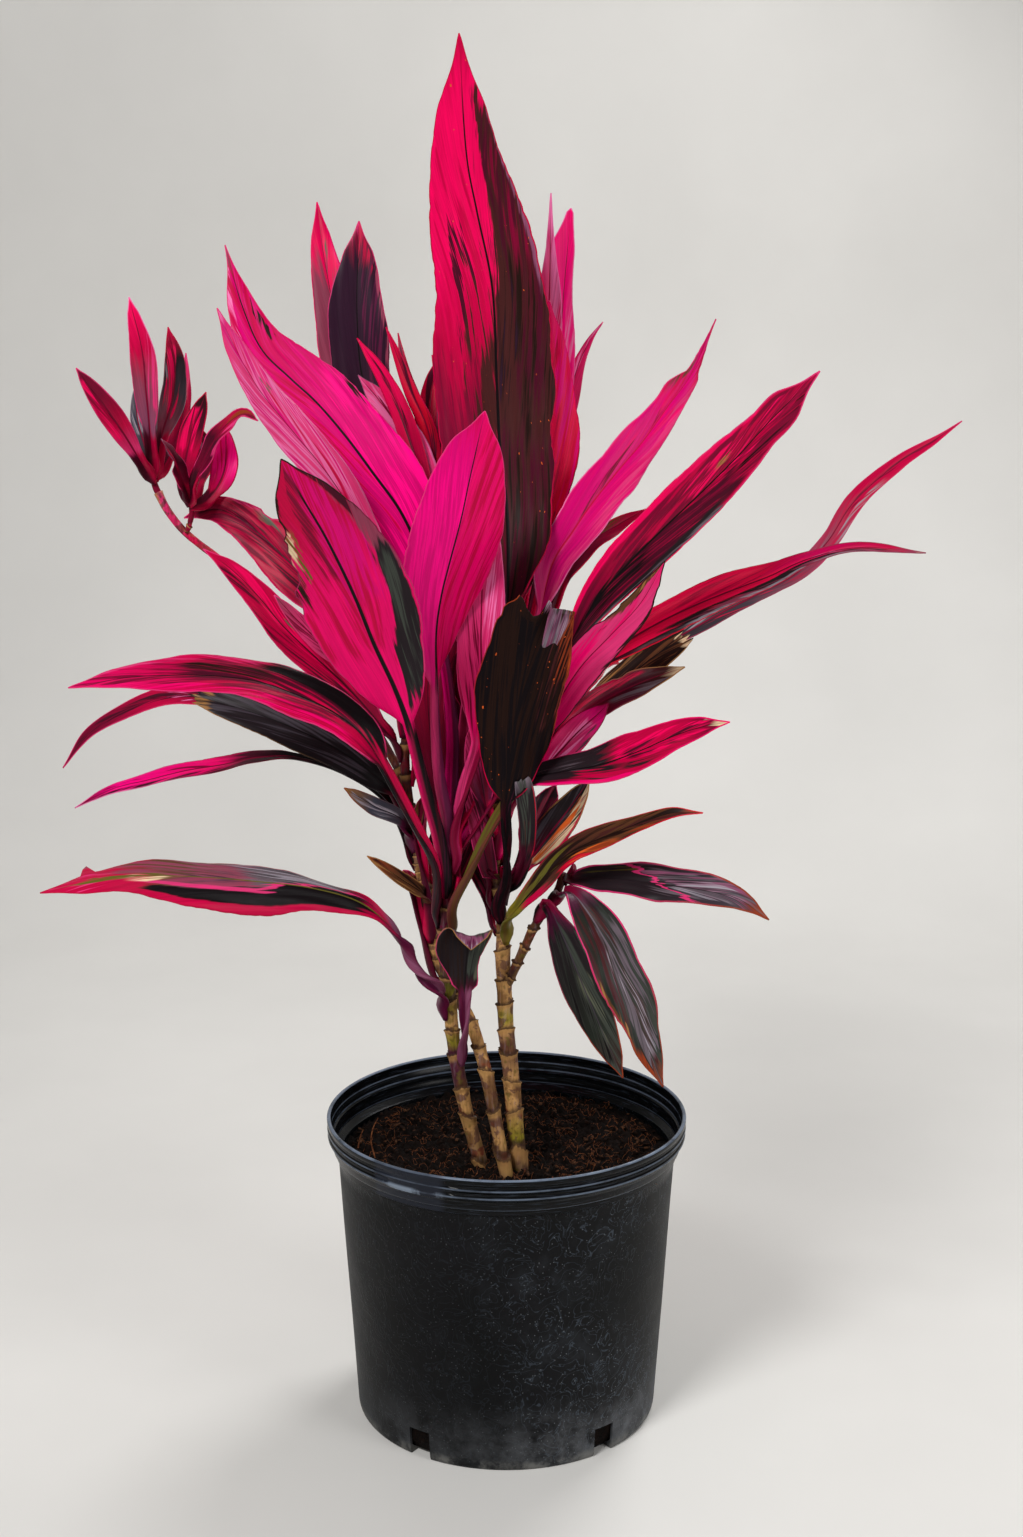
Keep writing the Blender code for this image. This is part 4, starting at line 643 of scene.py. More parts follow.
# How each leaf looks
LOOKS = {
    "leaf_tall_spear": Look(((0, "maroon"), (0.3, "wine"), (0.46, "crimson"), (0.66, "flame"),
          (0.9, "flame"), (1, "crimson")), (
        Stroke("maroon", (0.52, 0.72), (-0.65, -0.25), 0.35, soft=0.012),
        Stroke("crimson", (0.4, 0.8), (-0.9, -0.1), 0.25),
        Stroke("bronze", (0.36, 0.66), (-0.5, 0.0), 0.45, soft=0.012),
        Stroke("bronze", (0.1, 0.48), (-0.75, 0.04), 0.8, then=(-0.15, 0.04)),
        Stroke("wine", (0.12, 0.46), (-1.1, -0.2), 0.55), Stroke("bronze", (-0.1, 0.66), (0.02, 1.1)),
        Stroke("bronze", (0.62, 0.86), (0.1, 1.1), then=(0.5, 1.1), soft=0.012),
        Stroke("flame", (0.56, 0.84), (0.02, 0.1), 0.6, then=(0.02, 0.5), soft=0.012),
        Stroke("maroon", (0.4, 0.88), (0.35, 0.95), 0.5), Stroke("wine", (0.5, 0.8), (0.5, 0.9), 0.35),
        # The mauve strip along the right margin is a painted highlight.
        Stroke("mauve", (0.6, 0.86), (0.93, 1.1), 0.6), Stroke("umber", (-0.05, 0.6), (0.06, 1.0), 0.35),
        Stroke("maroon", (-0.1, 0.34), (0.02, 1.1), 0.5),
        Stroke("aubergine", (0.3, 0.75), (0.04, 0.4), 0.12)), rib=("black", 1.5), spots=0.6,
        stalk=("plum", "black"), gloss=0.46, mirror=0.06),
    "leaf_tall_crimson": Look(((0, "wine"), (0.12, "crimson"), (0.3, "blaze"), (0.8, "blaze"),
          (1, "pink")), (
        Stroke("hot", (0.3, 0.95), (0.3, 1.1), 0.25), Stroke("crimson", (-0.1, 0.9), (-1.1, 0.6), 0.3),
        Stroke("maroon", (-0.1, 0.35), (0.6, 1.0), 0.4)), edge=("wine", "pink", 0.6)),
    "leaf_right_magenta": Look(((0, "magenta"), (0.2, "magenta"), (0.7, "pink"), (0.84, "crimson"),
          (1, "crimson")), (
        Stroke("rose", (-0.1, 0.82), (0.45, 1.1), 0.45), Stroke("magenta", (-0.1, 0.9), (-0.9, 0.6), 0.6),
        Stroke("wine", (0.15, 0.7), (-0.35, -0.05), 0.25),
        Stroke("brown", (0.76, 0.84), (-1.1, -0.5), 0.7)), rib=("crimson", 0.8), edge=("pale", "rose", 0.7),
        stalk=("rose", "magenta")),
    "leaf_right_crimson": Look(((0, "maroon"), (0.1, "wine"), (0.35, "crimson"), (1, "crimson")), (
        Stroke("wine", (0.25, 1.1), (-0.8, 0.9), 0.7),
        Stroke("maroon", (-0.1, 0.66), (-0.4, 0.8), 0.65, then=(0.2, 0.9)),
        Stroke("black", (-0.1, 0.34), (-0.2, 0.65), 0.5),
        Stroke("flame", (0.05, 0.8), (-1.1, -0.72), then=(-1.1, -0.82)),
        Stroke("flame", (0.55, 1.1), (-0.6, 0.3), 0.3), Stroke("charcoal", (0.04, 0.6), (0.72, 1.1)),
        # The ash streaks on the grey-black strip along the right edge are a painted silvery highlight.
        Stroke("ash", (0.1, 0.6), (0.86, 1.1), 0.5), Stroke("black", (0.66, 0.98), (0.35, 0.75), 0.3),
        Stroke("dry", (0.665, 0.7), (-0.36, -0.22), 0.6, soft=0.01)), rib=("black", 1.0),
        edge=("flame", "rose", 0.8), stalk=("wine", "black")),
    "leaf_right_dry_tip": Look(((0, "hot"), (0.1, "pink"), (0.5, "rose"), (0.8, "rose"), (1, "pink")), (
        Stroke("pink", (0.0, 0.8), (-0.8, 0.2), 0.6), Stroke("brown", (0.6, 1.1), (-1.1, -0.6)),
        Stroke("dry", (0.78, 1.1), (-0.9, -0.45), 0.5), Stroke("umber", (0.45, 0.95), (0.82, 1.1), 0.7),
        Stroke("umber", (0.55, 1.1), (-0.62, -0.52), 0.7)), rib=("wine", 0.6),
        edge=("maroon", "umber", 1.0), stalk=("hot", "wine")),
    "leaf_right_long_red": Look(((0, "flame"), (0.08, "blaze"), (0.56, "blaze"), (0.7, "pink"),
          (0.85, "crimson"), (0.97, "dusty"), (1, "cream")), (
        Stroke("crimson", (0.1, 0.6), (-0.9, 0.1), 0.25),
        Stroke("maroon", (-0.1, 0.5), (0.55, 1.1), 0.8, then=(0.85, 1.1)),
        Stroke("black", (-0.1, 0.3), (0.7, 1.1), 0.5),
        Stroke("charcoal", (0.26, 0.86), (0.45, 1.1), 0.85, then=(0.25, 1.1)),
        Stroke("dusty", (0.34, 0.95), (0.62, 1.1), 0.6, then=(0.45, 1.1)),
        Stroke("silver_sheen", (0.3, 0.8), (0.82, 1.1), 0.5, then=(0.7, 1.1)),
        Stroke("pale", (0.62, 0.9), (-0.1, 0.2), 0.3)), edge=("red", "dusty", 0.7),
        stalk=("red", "maroon")),
    "leaf_far_right_slim": Look(((0, "charcoal"), (0.3, "grey"), (0.5, "dusty"), (0.62, "crimson"),
          (1, "crimson")), (
        Stroke("silver_sheen", (0.1, 0.5), (-0.6, -0.1), 0.45), Stroke("crimson", (0.15, 0.52), (0.3, 1.1), 0.25),
        Stroke("silver_sheen", (0.55, 0.74), (0.4, 1.1), 0.5), Stroke("wine", (0.6, 1.0), (-0.2, 0.3), 0.6)),
        edge=("dusty", "rose", 0.6)),
    "leaf_right_brown": Look(((0, "wine"), (0.25, "umber"), (1, "umber")), (
        Stroke("dry", (0.0, 0.6), (-1.1, -0.6), 0.5), Stroke("brown", (0.2, 1.1), (-0.5, 0.7), 0.35),
        Stroke("cream", (0.9, 1.1), (-1.1, 1.1), 0.5)), rib=("black", 0.8), edge=("brown", "dry", 0.8),
        stalk=("wine", "umber"), gloss=0.5),
    "leaf_right_maroon": Look(((0, "rose"), (0.2, "wine"), (0.6, "maroon"), (0.85, "bronze"),
          (1, "cream")), (
        Stroke("crimson", (0.0, 0.7), (-0.9, -0.3), 0.5), Stroke("ash", (0.4, 1.0), (0.0, 0.8), 0.35)),
        edge=("dusty", "dry", 0.8)),
    "leaf_right_short_pink": Look(((0, "pink"), (0.4, "rose"), (0.8, "magenta"), (1, "wine")), (
        Stroke("pale", (0.0, 0.7), (-0.4, 0.5), 0.5), Stroke("grey", (0.2, 0.7), (0.55, 1.1), 0.6)),
        edge=("pink", "wine", 0.7), stalk=("pink", "wine")),
    "leaf_right_twisted": Look(((0, "maroon"), (0.08, "charcoal"), (0.42, "charcoal"), (0.54, "crimson"),
          (0.8, "crimson"), (0.95, "wine"), (1, "cream")), (
        Stroke("flame", (0.5, 0.95), (-0.6, 0.5), 0.45), Stroke("ash", (0.1, 0.5), (-0.8, 0.1), 0.15),
        Stroke("wine", (0.12, 0.46), (0.6, 0.9), 0.5), Stroke("pink", (0.12, 0.55), (0.82, 1.1)),
        Stroke("crimson", (0.3, 0.62), (0.1, 0.8), 0.5), Stroke("charcoal", (0.5, 0.82), (0.35, 0.8), 0.45),
        Stroke("maroon", (0.55, 0.95), (-0.3, 0.3), 0.3)), rib=("black", 0.9), edge=("rose", "pink", 0.8),
        stalk=("olive", "brown")),
    "leaf_behind_brown": Look(((0, "maroon"), (0.5, "wine"), (1, "crimson")), (
        Stroke("brown", (0.2, 0.9), (-1.1, 0.0), 0.5),)),
    "leaf_behind_front_pink": Look(((0, "pink"), (0.5, "rose"), (1, "magenta")), (
        Stroke("pale", (0.1, 0.9), (0.0, 0.9), 0.5), Stroke("wine", (0.0, 0.9), (-0.8, -0.1), 0.35)),
        edge=("rose", "pale", 0.7), stalk=("rose", "wine")),
    "leaf_torn_dark": Look(((0, "black"), (0.8, "black"), (1, "umber")), (
        Stroke("umber", (0.0, 1.1), (-0.9, 0.95), 0.5), Stroke("bronze", (0.35, 1.1), (0.45, 0.95), 0.3),
        Stroke("rust", (0.28, 1.1), (0.92, 1.1), 0.8), Stroke("rust", (0.55, 0.95), (0.7, 0.95), 0.25),
        Stroke("orange", (0.4, 0.92), (0.94, 1.1), 0.35),
        Stroke("orange", (0.83, 0.86), (0.32, 0.4), 0.9, soft=0.01),
        Stroke("mauve", (0.95, 1.2), (0.1, 1.1), soft=0.012),
        Stroke("silver_sheen", (0.955, 1.2), (0.1, 1.1), 0.55),
        Stroke("aubergine", (0.962, 0.992), (0.3, 0.8), 0.6)), rib=("black", 1.2),
        edge=("crimson", "rust", 0.7), stalk=("black", "black"), spots=1.6, gloss=0.5, mirror=0.05),
    "leaf_strap_dark": Look(((0, "maroon"), (0.2, "charcoal"), (0.8, "charcoal"), (1, "ash")), (
        Stroke("red", (0.0, 0.85), (0.84, 1.1)), Stroke("fern", (0.1, 1.0), (-0.7, 0.3), 0.4),
        Stroke("bronze", (0.0, 0.45), (-0.8, 0.5), 0.5)), rib=("charcoal", 0.6), edge=("wine", "ash", 0.7),
        stalk=("maroon", "black")),
    "leaf_cream_margin": Look(((0, "wine"), (0.15, "maroon"), (0.5, "charcoal"), (1, "charcoal")), (
        Stroke("grey", (0.2, 1.0), (-0.8, 0.2), 0.4),
        Stroke("cream", (0.05, 1.1), (0.15, 0.85), 0.85, then=(0.4, 1.0)),
        Stroke("orange", (0.05, 0.8), (0.2, 0.6), 0.5), Stroke("dusty", (0.1, 0.9), (0.5, 0.9), 0.35),
        Stroke("crimson", (-0.1, 0.9), (0.84, 1.1))), edge=("wine", "tan", 0.8)),
    "leaf_rust_low": Look(((0, "lime"), (0.06, "olive"), (0.14, "brown"), (0.3, "bronze"), (0.6, "brown"),
          (0.9, "brown"), (1, "rust")), (
        Stroke("crimson", (0.05, 0.2), (0.3, 1.1), 0.7), Stroke("olive", (0.1, 0.36), (-0.6, 0.3), 0.5),
        Stroke("umber", (0.15, 0.98), (-0.8, 0.4), 0.6), Stroke("red", (0.28, 0.48), (0.55, 1.1), 0.8),
        Stroke("orange", (0.36, 0.62), (0.4, 0.95), 0.5), Stroke("lime", (0.38, 0.52), (0.35, 0.6), 0.3),
        Stroke("rust", (0.5, 1.0), (0.5, 1.1), 0.35), Stroke("bronze", (0.5, 1.0), (-0.4, 0.9), 0.35)),
        rib=("umber", 0.8), edge=("crimson", "red", 0.6), stalk=("lime", "olive")),
    "leaf_low_right_dark": Look(((0, "maroon"), (0.1, "charcoal"), (0.45, "charcoal"), (0.85, "grey"),
          (1, "rust")), (
        Stroke("mauve", (0.34, 0.92), (-1.1, -0.6), 0.45, then=(-1.1, 0.9)),
        Stroke("ash", (0.4, 0.92), (-0.7, 0.7), 0.35), Stroke("silver_sheen", (0.55, 0.9), (-0.5, 0.6), 0.22),
        Stroke("olive", (0.06, 0.32), (-0.9, -0.3), 0.4),
        Stroke("rose", (0.26, 0.66), (-1.1, -0.9), then=(0.86, 1.02), soft=0.012)), rib=("charcoal", 0.7),
        edge=("rose", "rust", 1.1), stalk=("wine", "black")),
    "leaf_drooping_broad": Look(((0, "plum"), (0.12, "charcoal"), (0.45, "fern"), (0.85, "fern"),
          (1, "rust")), (
        Stroke("plum", (0.05, 0.6), (0.1, 1.0), 0.4), Stroke("moss", (0.1, 0.95), (-0.9, 0.9), 0.5),
        Stroke("bronze", (0.1, 0.9), (-0.5, 1.0), 0.4), Stroke("ash", (0.2, 0.95), (-0.8, 0.4), 0.35),
        Stroke("silver_sheen", (0.35, 0.85), (-0.6, 0.2), 0.2), Stroke("brown", (0.46, 0.95), (0.84, 1.1)),
        Stroke("dry", (0.5, 0.92), (0.74, 1.0), 0.3), Stroke("rust", (0.78, 1.1), (0.5, 1.1), 0.5)),
        rib=("ash", 0.7), edge=("rose", "rust", 1.0), stalk=("wine", "black")),
    "leaf_drooping_slim": Look(((0, "plum"), (0.12, "charcoal"), (0.7, "moss"), (1, "bronze")), (
        Stroke("fern", (0.1, 1.0), (-0.9, 0.8), 0.5), Stroke("sage", (0.35, 0.9), (-0.5, 0.2), 0.2),
        Stroke("black", (0.1, 0.9), (0.1, 0.9), 0.35)), rib=("grey", 0.6), edge=("dusty", "rust", 0.8),
        stalk=("wine", "black")),
    "leaf_curled_low": Look(((0, "maroon"), (0.14, "charcoal"), (0.78, "black"), (0.86, "mauve"),
          (1, "mauve")), (
        Stroke("sage", (0.12, 0.84), (0.25, 0.95), 0.5), Stroke("fern", (0.15, 0.84), (0.1, 0.9), 0.5),
        Stroke("umber", (0.05, 0.8), (-0.9, -0.1), 0.5), Stroke("silver_sheen", (0.9, 1.1), (-0.9, 0.9), 0.45),
        Stroke("plum", (0.92, 1.0), (-0.5, 0.5), 0.3)), rib=("black", 0.8), edge=("rose", "dry", 0.9),
        stalk=("plum", "mauve")),
    "leaf_low_left_arching": Look(((0, "crimson"), (0.08, "wine"), (0.14, "charcoal"), (0.4, "grey"),
          (0.55, "mauve"), (0.68, "brown"), (0.75, "crimson"), (1, "crimson")), (
        Stroke("charcoal", (0.1, 0.62), (-0.4, 0.6), 0.5), Stroke("ash", (0.12, 0.74), (-0.3, 1.1), 0.45),
        Stroke("silver_sheen", (0.1, 0.72), (0.3, 1.1), 0.35), Stroke("dusty", (0.4, 0.82), (-0.3, 1.1), 0.6),
        Stroke("brown", (0.5, 0.8), (0.1, 1.1), 0.35), Stroke("rose", (0.84, 1.1), (-1.1, 1.1), 0.35),
        Stroke("black", (0.08, 0.42), (-1.1, 0.55), then=(-1.1, -0.3)),
        Stroke("black", (0.4, 0.72), (-1.1, -0.3), then=(-1.1, -0.42)),
        Stroke("crimson", (0.04, 0.78), (-1.1, -0.72)),
        Stroke("rose", (0.08, 0.42), (0.5, 0.62), then=(-0.34, -0.22), soft=0.02),
        Stroke("rose", (0.4, 0.8), (-0.34, -0.22), soft=0.02),
        Stroke("olive", (0.66, 0.92), (-0.14, 0.16), 0.6), Stroke("cream", (0.7, 0.8), (-0.3, 0.1), 0.3)),
        rib=("olive", 0.6), edge=("crimson", "crimson", 1.0), stalk=("plum", "mauve")),
    "leaf_left_arching": Look(((0, "wine"), (0.1, "crimson"), (0.6, "crimson"), (1, "pink")), (
        Stroke("wine", (0.2, 1.0), (-0.6, 0.8), 0.55), Stroke("pink", (0.1, 0.95), (-1.1, -0.5), 0.5),
        Stroke("maroon", (0.08, 0.7), (-0.15, 0.5), 0.55), Stroke("rose", (0.45, 0.95), (0.75, 1.0), 0.5),
        Stroke("black", (0.02, 0.44), (0.12, 1.1), then=(0.6, 1.1)),
        Stroke("umber", (0.4, 0.66), (0.1, 0.55), 0.6, then=(0.3, 0.6))), rib=("black", 0.9),
        edge=("rose", "rose", 0.8), stalk=("black", "crimson")),
    "leaf_left_broad": Look(((0, "pink"), (0.55, "pink"), (0.8, "crimson"), (1, "crimson")), (
        Stroke("crimson", (0.3, 1.1), (-0.4, 0.95), 0.4),
        Stroke("magenta", (0.45, 1.05), (-0.7, 0.2), 0.55), Stroke("wine", (0.6, 1.1), (0.05, 0.5), 0.3),
        Stroke("dusty", (0.5, 0.88), (-1.1, -0.7), 0.8), Stroke("maroon", (0.74, 1.0), (-1.1, -0.76), 0.7),
        Stroke("charcoal", (0.05, 0.6), (-0.94, -0.3), then=(-0.97, -0.62), soft=0.02),
        Stroke("crimson", (0.2, 0.3), (-0.4, -0.26), 0.8, soft=0.012),
        Stroke("fern", (0.08, 0.55), (-0.9, -0.5), 0.35), Stroke("olive", (0.58, 0.8), (0.72, 1.0), 0.5),
        Stroke("cream", (0.64, 0.76), (0.84, 1.1), 0.7), Stroke("umber", (0.52, 0.62), (0.8, 1.1), 0.5),
        Stroke("umber", (0.78, 1.0), (0.9, 1.1), 0.5)), rib=("black", 1.7), edge=("rose", "umber", 0.9),
        stalk=("black", "pink")),
    "leaf_front_pink": Look(((0, "magenta"), (0.2, "hot"), (0.75, "hot"), (1, "crimson")), (
        Stroke("magenta", (0.0, 1.0), (-1.1, 1.1), 0.45), Stroke("pink", (-0.1, 1.1), (-1.1, -0.04)),
        Stroke("crimson", (-0.1, 1.1), (-1.0, -0.04), 0.35),
        Stroke("magenta", (0.2, 0.9), (0.1, 0.95), 0.25)), rib=("black", 0.9), edge=("rose", "rose", 0.7),
        stalk=("plum", "rose")),
    "leaf_upper_left_magenta": Look(((0, "magenta"), (0.5, "magenta"), (0.92, "crimson"), (1, "dusty")), (
        Stroke("hot", (0.1, 0.6), (-1.1, 1.1), 0.45), Stroke("magenta", (0.35, 0.95), (-0.7, 0.9), 0.35),
        Stroke("crimson", (0.2, 0.75), (-0.4, -0.05), 0.3),
        # The pale streaks along the left edge are painted highlights.
        Stroke("pale", (0.55, 0.92), (-0.95, -0.6), 0.2),
        Stroke("umber", (0.79, 0.86), (0.45, 0.8), 0.7, soft=0.01),
        Stroke("umber", (0.49, 0.54), (0.86, 1.1), 0.8, soft=0.01)), rib=("black", 1.4),
        edge=("rose", "rose", 0.6), stalk=("magenta", "plum"), gloss=0.46, mirror=0.05),
    "leaf_striped_pink": Look(((0, "rose"), (0.3, "pale"), (0.75, "pale"), (0.95, "magenta"),
          (1, "pale")), (
        Stroke("rose", (-0.1, 0.95), (-1.1, 1.1), 0.5), Stroke("magenta", (0.0, 0.95), (-0.9, 0.9), 0.3),
        Stroke("crimson", (0.2, 0.9), (0.0, 0.4), 0.25),
        Stroke("sage", (0.69, 0.72), (0.38, 0.6), 0.7, soft=0.01)), rib=("wine", 0.5),
        edge=("pale", "rose", 0.7), stalk=("rose", "wine")),
    "leaf_top_left_dusty": Look(((0, "wine"), (0.3, "dusty"), (0.72, "dusty"), (0.84, "flame"),
          (1, "crimson")), (
        Stroke("flame", (0.55, 0.88), (0.2, 0.9), 0.7, then=(-0.5, 0.9)),
        Stroke("sage", (0.6, 0.86), (0.2, 0.7), 0.2), Stroke("pink", (0.3, 0.9), (0.85, 1.1))),
        rib=("maroon", 0.6), edge=("rose", "pink", 0.7)),
    "leaf_top_left_dark": Look(((0, "black"), (0.4, "aubergine"), (0.86, "aubergine"), (0.94, "wine"),
          (1, "rose")), (
        Stroke("plum", (0.4, 0.92), (0.2, 1.0), 0.4), Stroke("crimson", (0.84, 1.0), (0.0, 0.8), 0.6),
        Stroke("dusty", (0.45, 0.88), (0.86, 1.1), 0.7)), rib=("black", 0.9), edge=("mauve", "rose", 0.6)),
    "leaf_left_dark": Look(((0, "black"), (0.5, "charcoal"), (1, "charcoal")), (
        # The grey streaks are painted sheen on the dark leaf.
        Stroke("grey", (0.15, 1.0), (-0.7, 0.7), 0.4), Stroke("tan", (0.6, 0.84), (0.72, 1.1), 0.5),
        Stroke("dry", (0.92, 1.1), (-1.1, 1.1), 0.6)), rib=("black", 0.9), edge=("charcoal", "dry", 0.7),
        stalk=("wine", "black")),
    "leaf_left_red_strip": Look(((0, "wine"), (0.45, "wine"), (0.6, "crimson"), (0.8, "wine"),
          (1, "wine")), (
        Stroke("maroon", (0.4, 0.98), (-0.3, 0.5), 0.6),
        Stroke("pale", (0.47, 0.53), (-1.1, 1.1), 0.4, soft=0.01)), edge=("red", "rose", 0.7)),
    "leaf_left_thin_pink": Look(((0, "black"), (0.2, "maroon"), (0.35, "pink"), (0.8, "hot"),
          (1, "wine")), (
        Stroke("maroon", (0.2, 0.95), (-1.1, -0.5), 0.6), Stroke("wine", (0.3, 1.0), (0.0, 0.5), 0.3)),
        edge=("wine", "pale", 0.6), stalk=("black", "black")),
    "leaf_left_small_grey": Look(((0, "grey"), (0.5, "slate"), (1, "dry")), (
        Stroke("silver_sheen", (0.1, 0.9), (-0.7, 0.3), 0.35),), rib=("charcoal", 0.5), edge=("ash", "rust", 0.6),
        stalk=("plum", "black")),
    "leaf_sheath_brown": Look(((0, "brown"), (0.5, "brown"), (1, "rust")), (
        Stroke("dry", (0.1, 0.95), (-0.7, 0.1), 0.5), Stroke("umber", (0.0, 0.9), (0.2, 0.8), 0.5)),
        rib=("umber", 0.5), edge=("dry", "dry", 0.6), stalk=("brown", "umber"), gloss=0.6),
    "leaf_far_left_folded": Look(((0, "wine"), (0.3, "crimson"), (0.7, "crimson"), (1, "wine")), (
        Stroke("wine", (0.1, 0.95), (-0.9, 0.8), 0.4), Stroke("maroon", (0.1, 0.9), (-0.5, 0.3), 0.4),
        Stroke("sage", (0.5, 0.62), (0.62, 0.95), 0.8), Stroke("rose", (0.62, 0.92), (0.8, 1.1), 0.6)),
        rib=("maroon", 0.8), edge=("rose", "rose", 0.8)),
    "leaf_left_crimson": Look(((0, "wine"), (0.35, "crimson"), (1, "crimson")), (
        Stroke("flame", (0.2, 0.9), (-0.2, 0.8), 0.5), Stroke("maroon", (0.1, 0.9), (-0.9, -0.2), 0.45),
        Stroke("sage", (0.48, 0.57), (0.3, 0.9), 0.7, soft=0.01),
        Stroke("cream", (0.5, 0.55), (0.5, 0.9), 0.5, soft=0.01)), rib=("maroon", 0.8),
        edge=("rose", "rose", 0.6)),
    "leaf_left_dusty_small": Look(((0, "dusty"), (0.6, "rose"), (1, "dusty")), (
        Stroke("wine", (0.0, 0.9), (-0.8, 0.8), 0.4),), edge=("rose", "rose", 0.5)),
    "leaf_back_upper": Look(((0, "crimson"), (0.5, "pink"), (1, "crimson")), (
        Stroke("maroon", (0.0, 0.7), (0.1, 0.9), 0.5), Stroke("magenta", (0.2, 0.9), (-0.9, 0.0), 0.5)),
        rib=("black", 1.0)),
    "leaf_back_left": Look(((0, "wine"), (0.4, "magenta"), (1, "pink")), (
        Stroke("rose", (0.2, 0.9), (-0.8, 0.6), 0.4), Stroke("bronze", (0.0, 0.55), (-1.1, -0.3), 0.7)),
        rib=("maroon", 1.0)),
    "leaf_back_right": Look(((0, "maroon"), (0.4, "bronze"), (0.8, "wine"), (1, "crimson")), (
        Stroke("crimson", (0.1, 1.0), (0.5, 1.1), 0.8), Stroke("charcoal", (0.1, 0.7), (-0.9, 0.2), 0.5)),
        rib=("black", 1.0)),
    "leaf_back_high_left": Look(((0, "wine"), (0.35, "pink"), (1, "hot")), (
        Stroke("crimson", (0.1, 0.9), (-0.9, 0.9), 0.45), Stroke("maroon", (0.0, 0.5), (-0.5, 0.1), 0.5)),
        rib=("black", 1.1)),
    "leaf_back_middle": Look(((0, "maroon"), (0.3, "charcoal"), (0.7, "plum"), (1, "crimson")), (
        Stroke("crimson", (0.2, 1.0), (-1.1, -0.5), 0.8), Stroke("grey", (0.2, 0.8), (0.0, 0.9), 0.4)),
        rib=("black", 1.0), edge=("rose", "rose", 0.8)),
    "leaf_back_low": Look(((0, "crimson"), (0.4, "rose"), (1, "magenta")), (
        Stroke("pale", (0.1, 0.8), (-0.8, 0.8), 0.4), Stroke("wine", (0.0, 0.6), (0.2, 0.9), 0.4)),
        rib=("wine", 0.9), edge=("rose", "rust", 0.8)),
}
# The inner leaves' grounds, at their start and at their tip
INNER_GROUNDS = (("wine", "rose"), ("maroon", "crimson"), ("charcoal", "ash"), ("maroon", "plum"),
                 ("plum", "rose"), ("maroon", "wine"), ("maroon", "wine"), ("wine", "crimson"),
                 ("wine", "pink"), ("aubergine", "charcoal"), ("wine", "maroon"), ("dry", "brown"),
                 ("brown", "dry"), ("black", "plum"), ("maroon", "rose"), ("black", "maroon"))
for inner, (first_tone, last_tone) in zip(INNER_LEAVES, INNER_GROUNDS):
    LOOKS[inner.name] = Look(((0, first_tone), (1, last_tone)), (
        Stroke("wine", (0.0, 1.0), (-0.9, 0.9), 0.4), Stroke("maroon", (0.0, 0.8), (0.2, 0.9), 0.4)),
        rib=("maroon", 0.6), edge=("rose", "rose", 0.6))

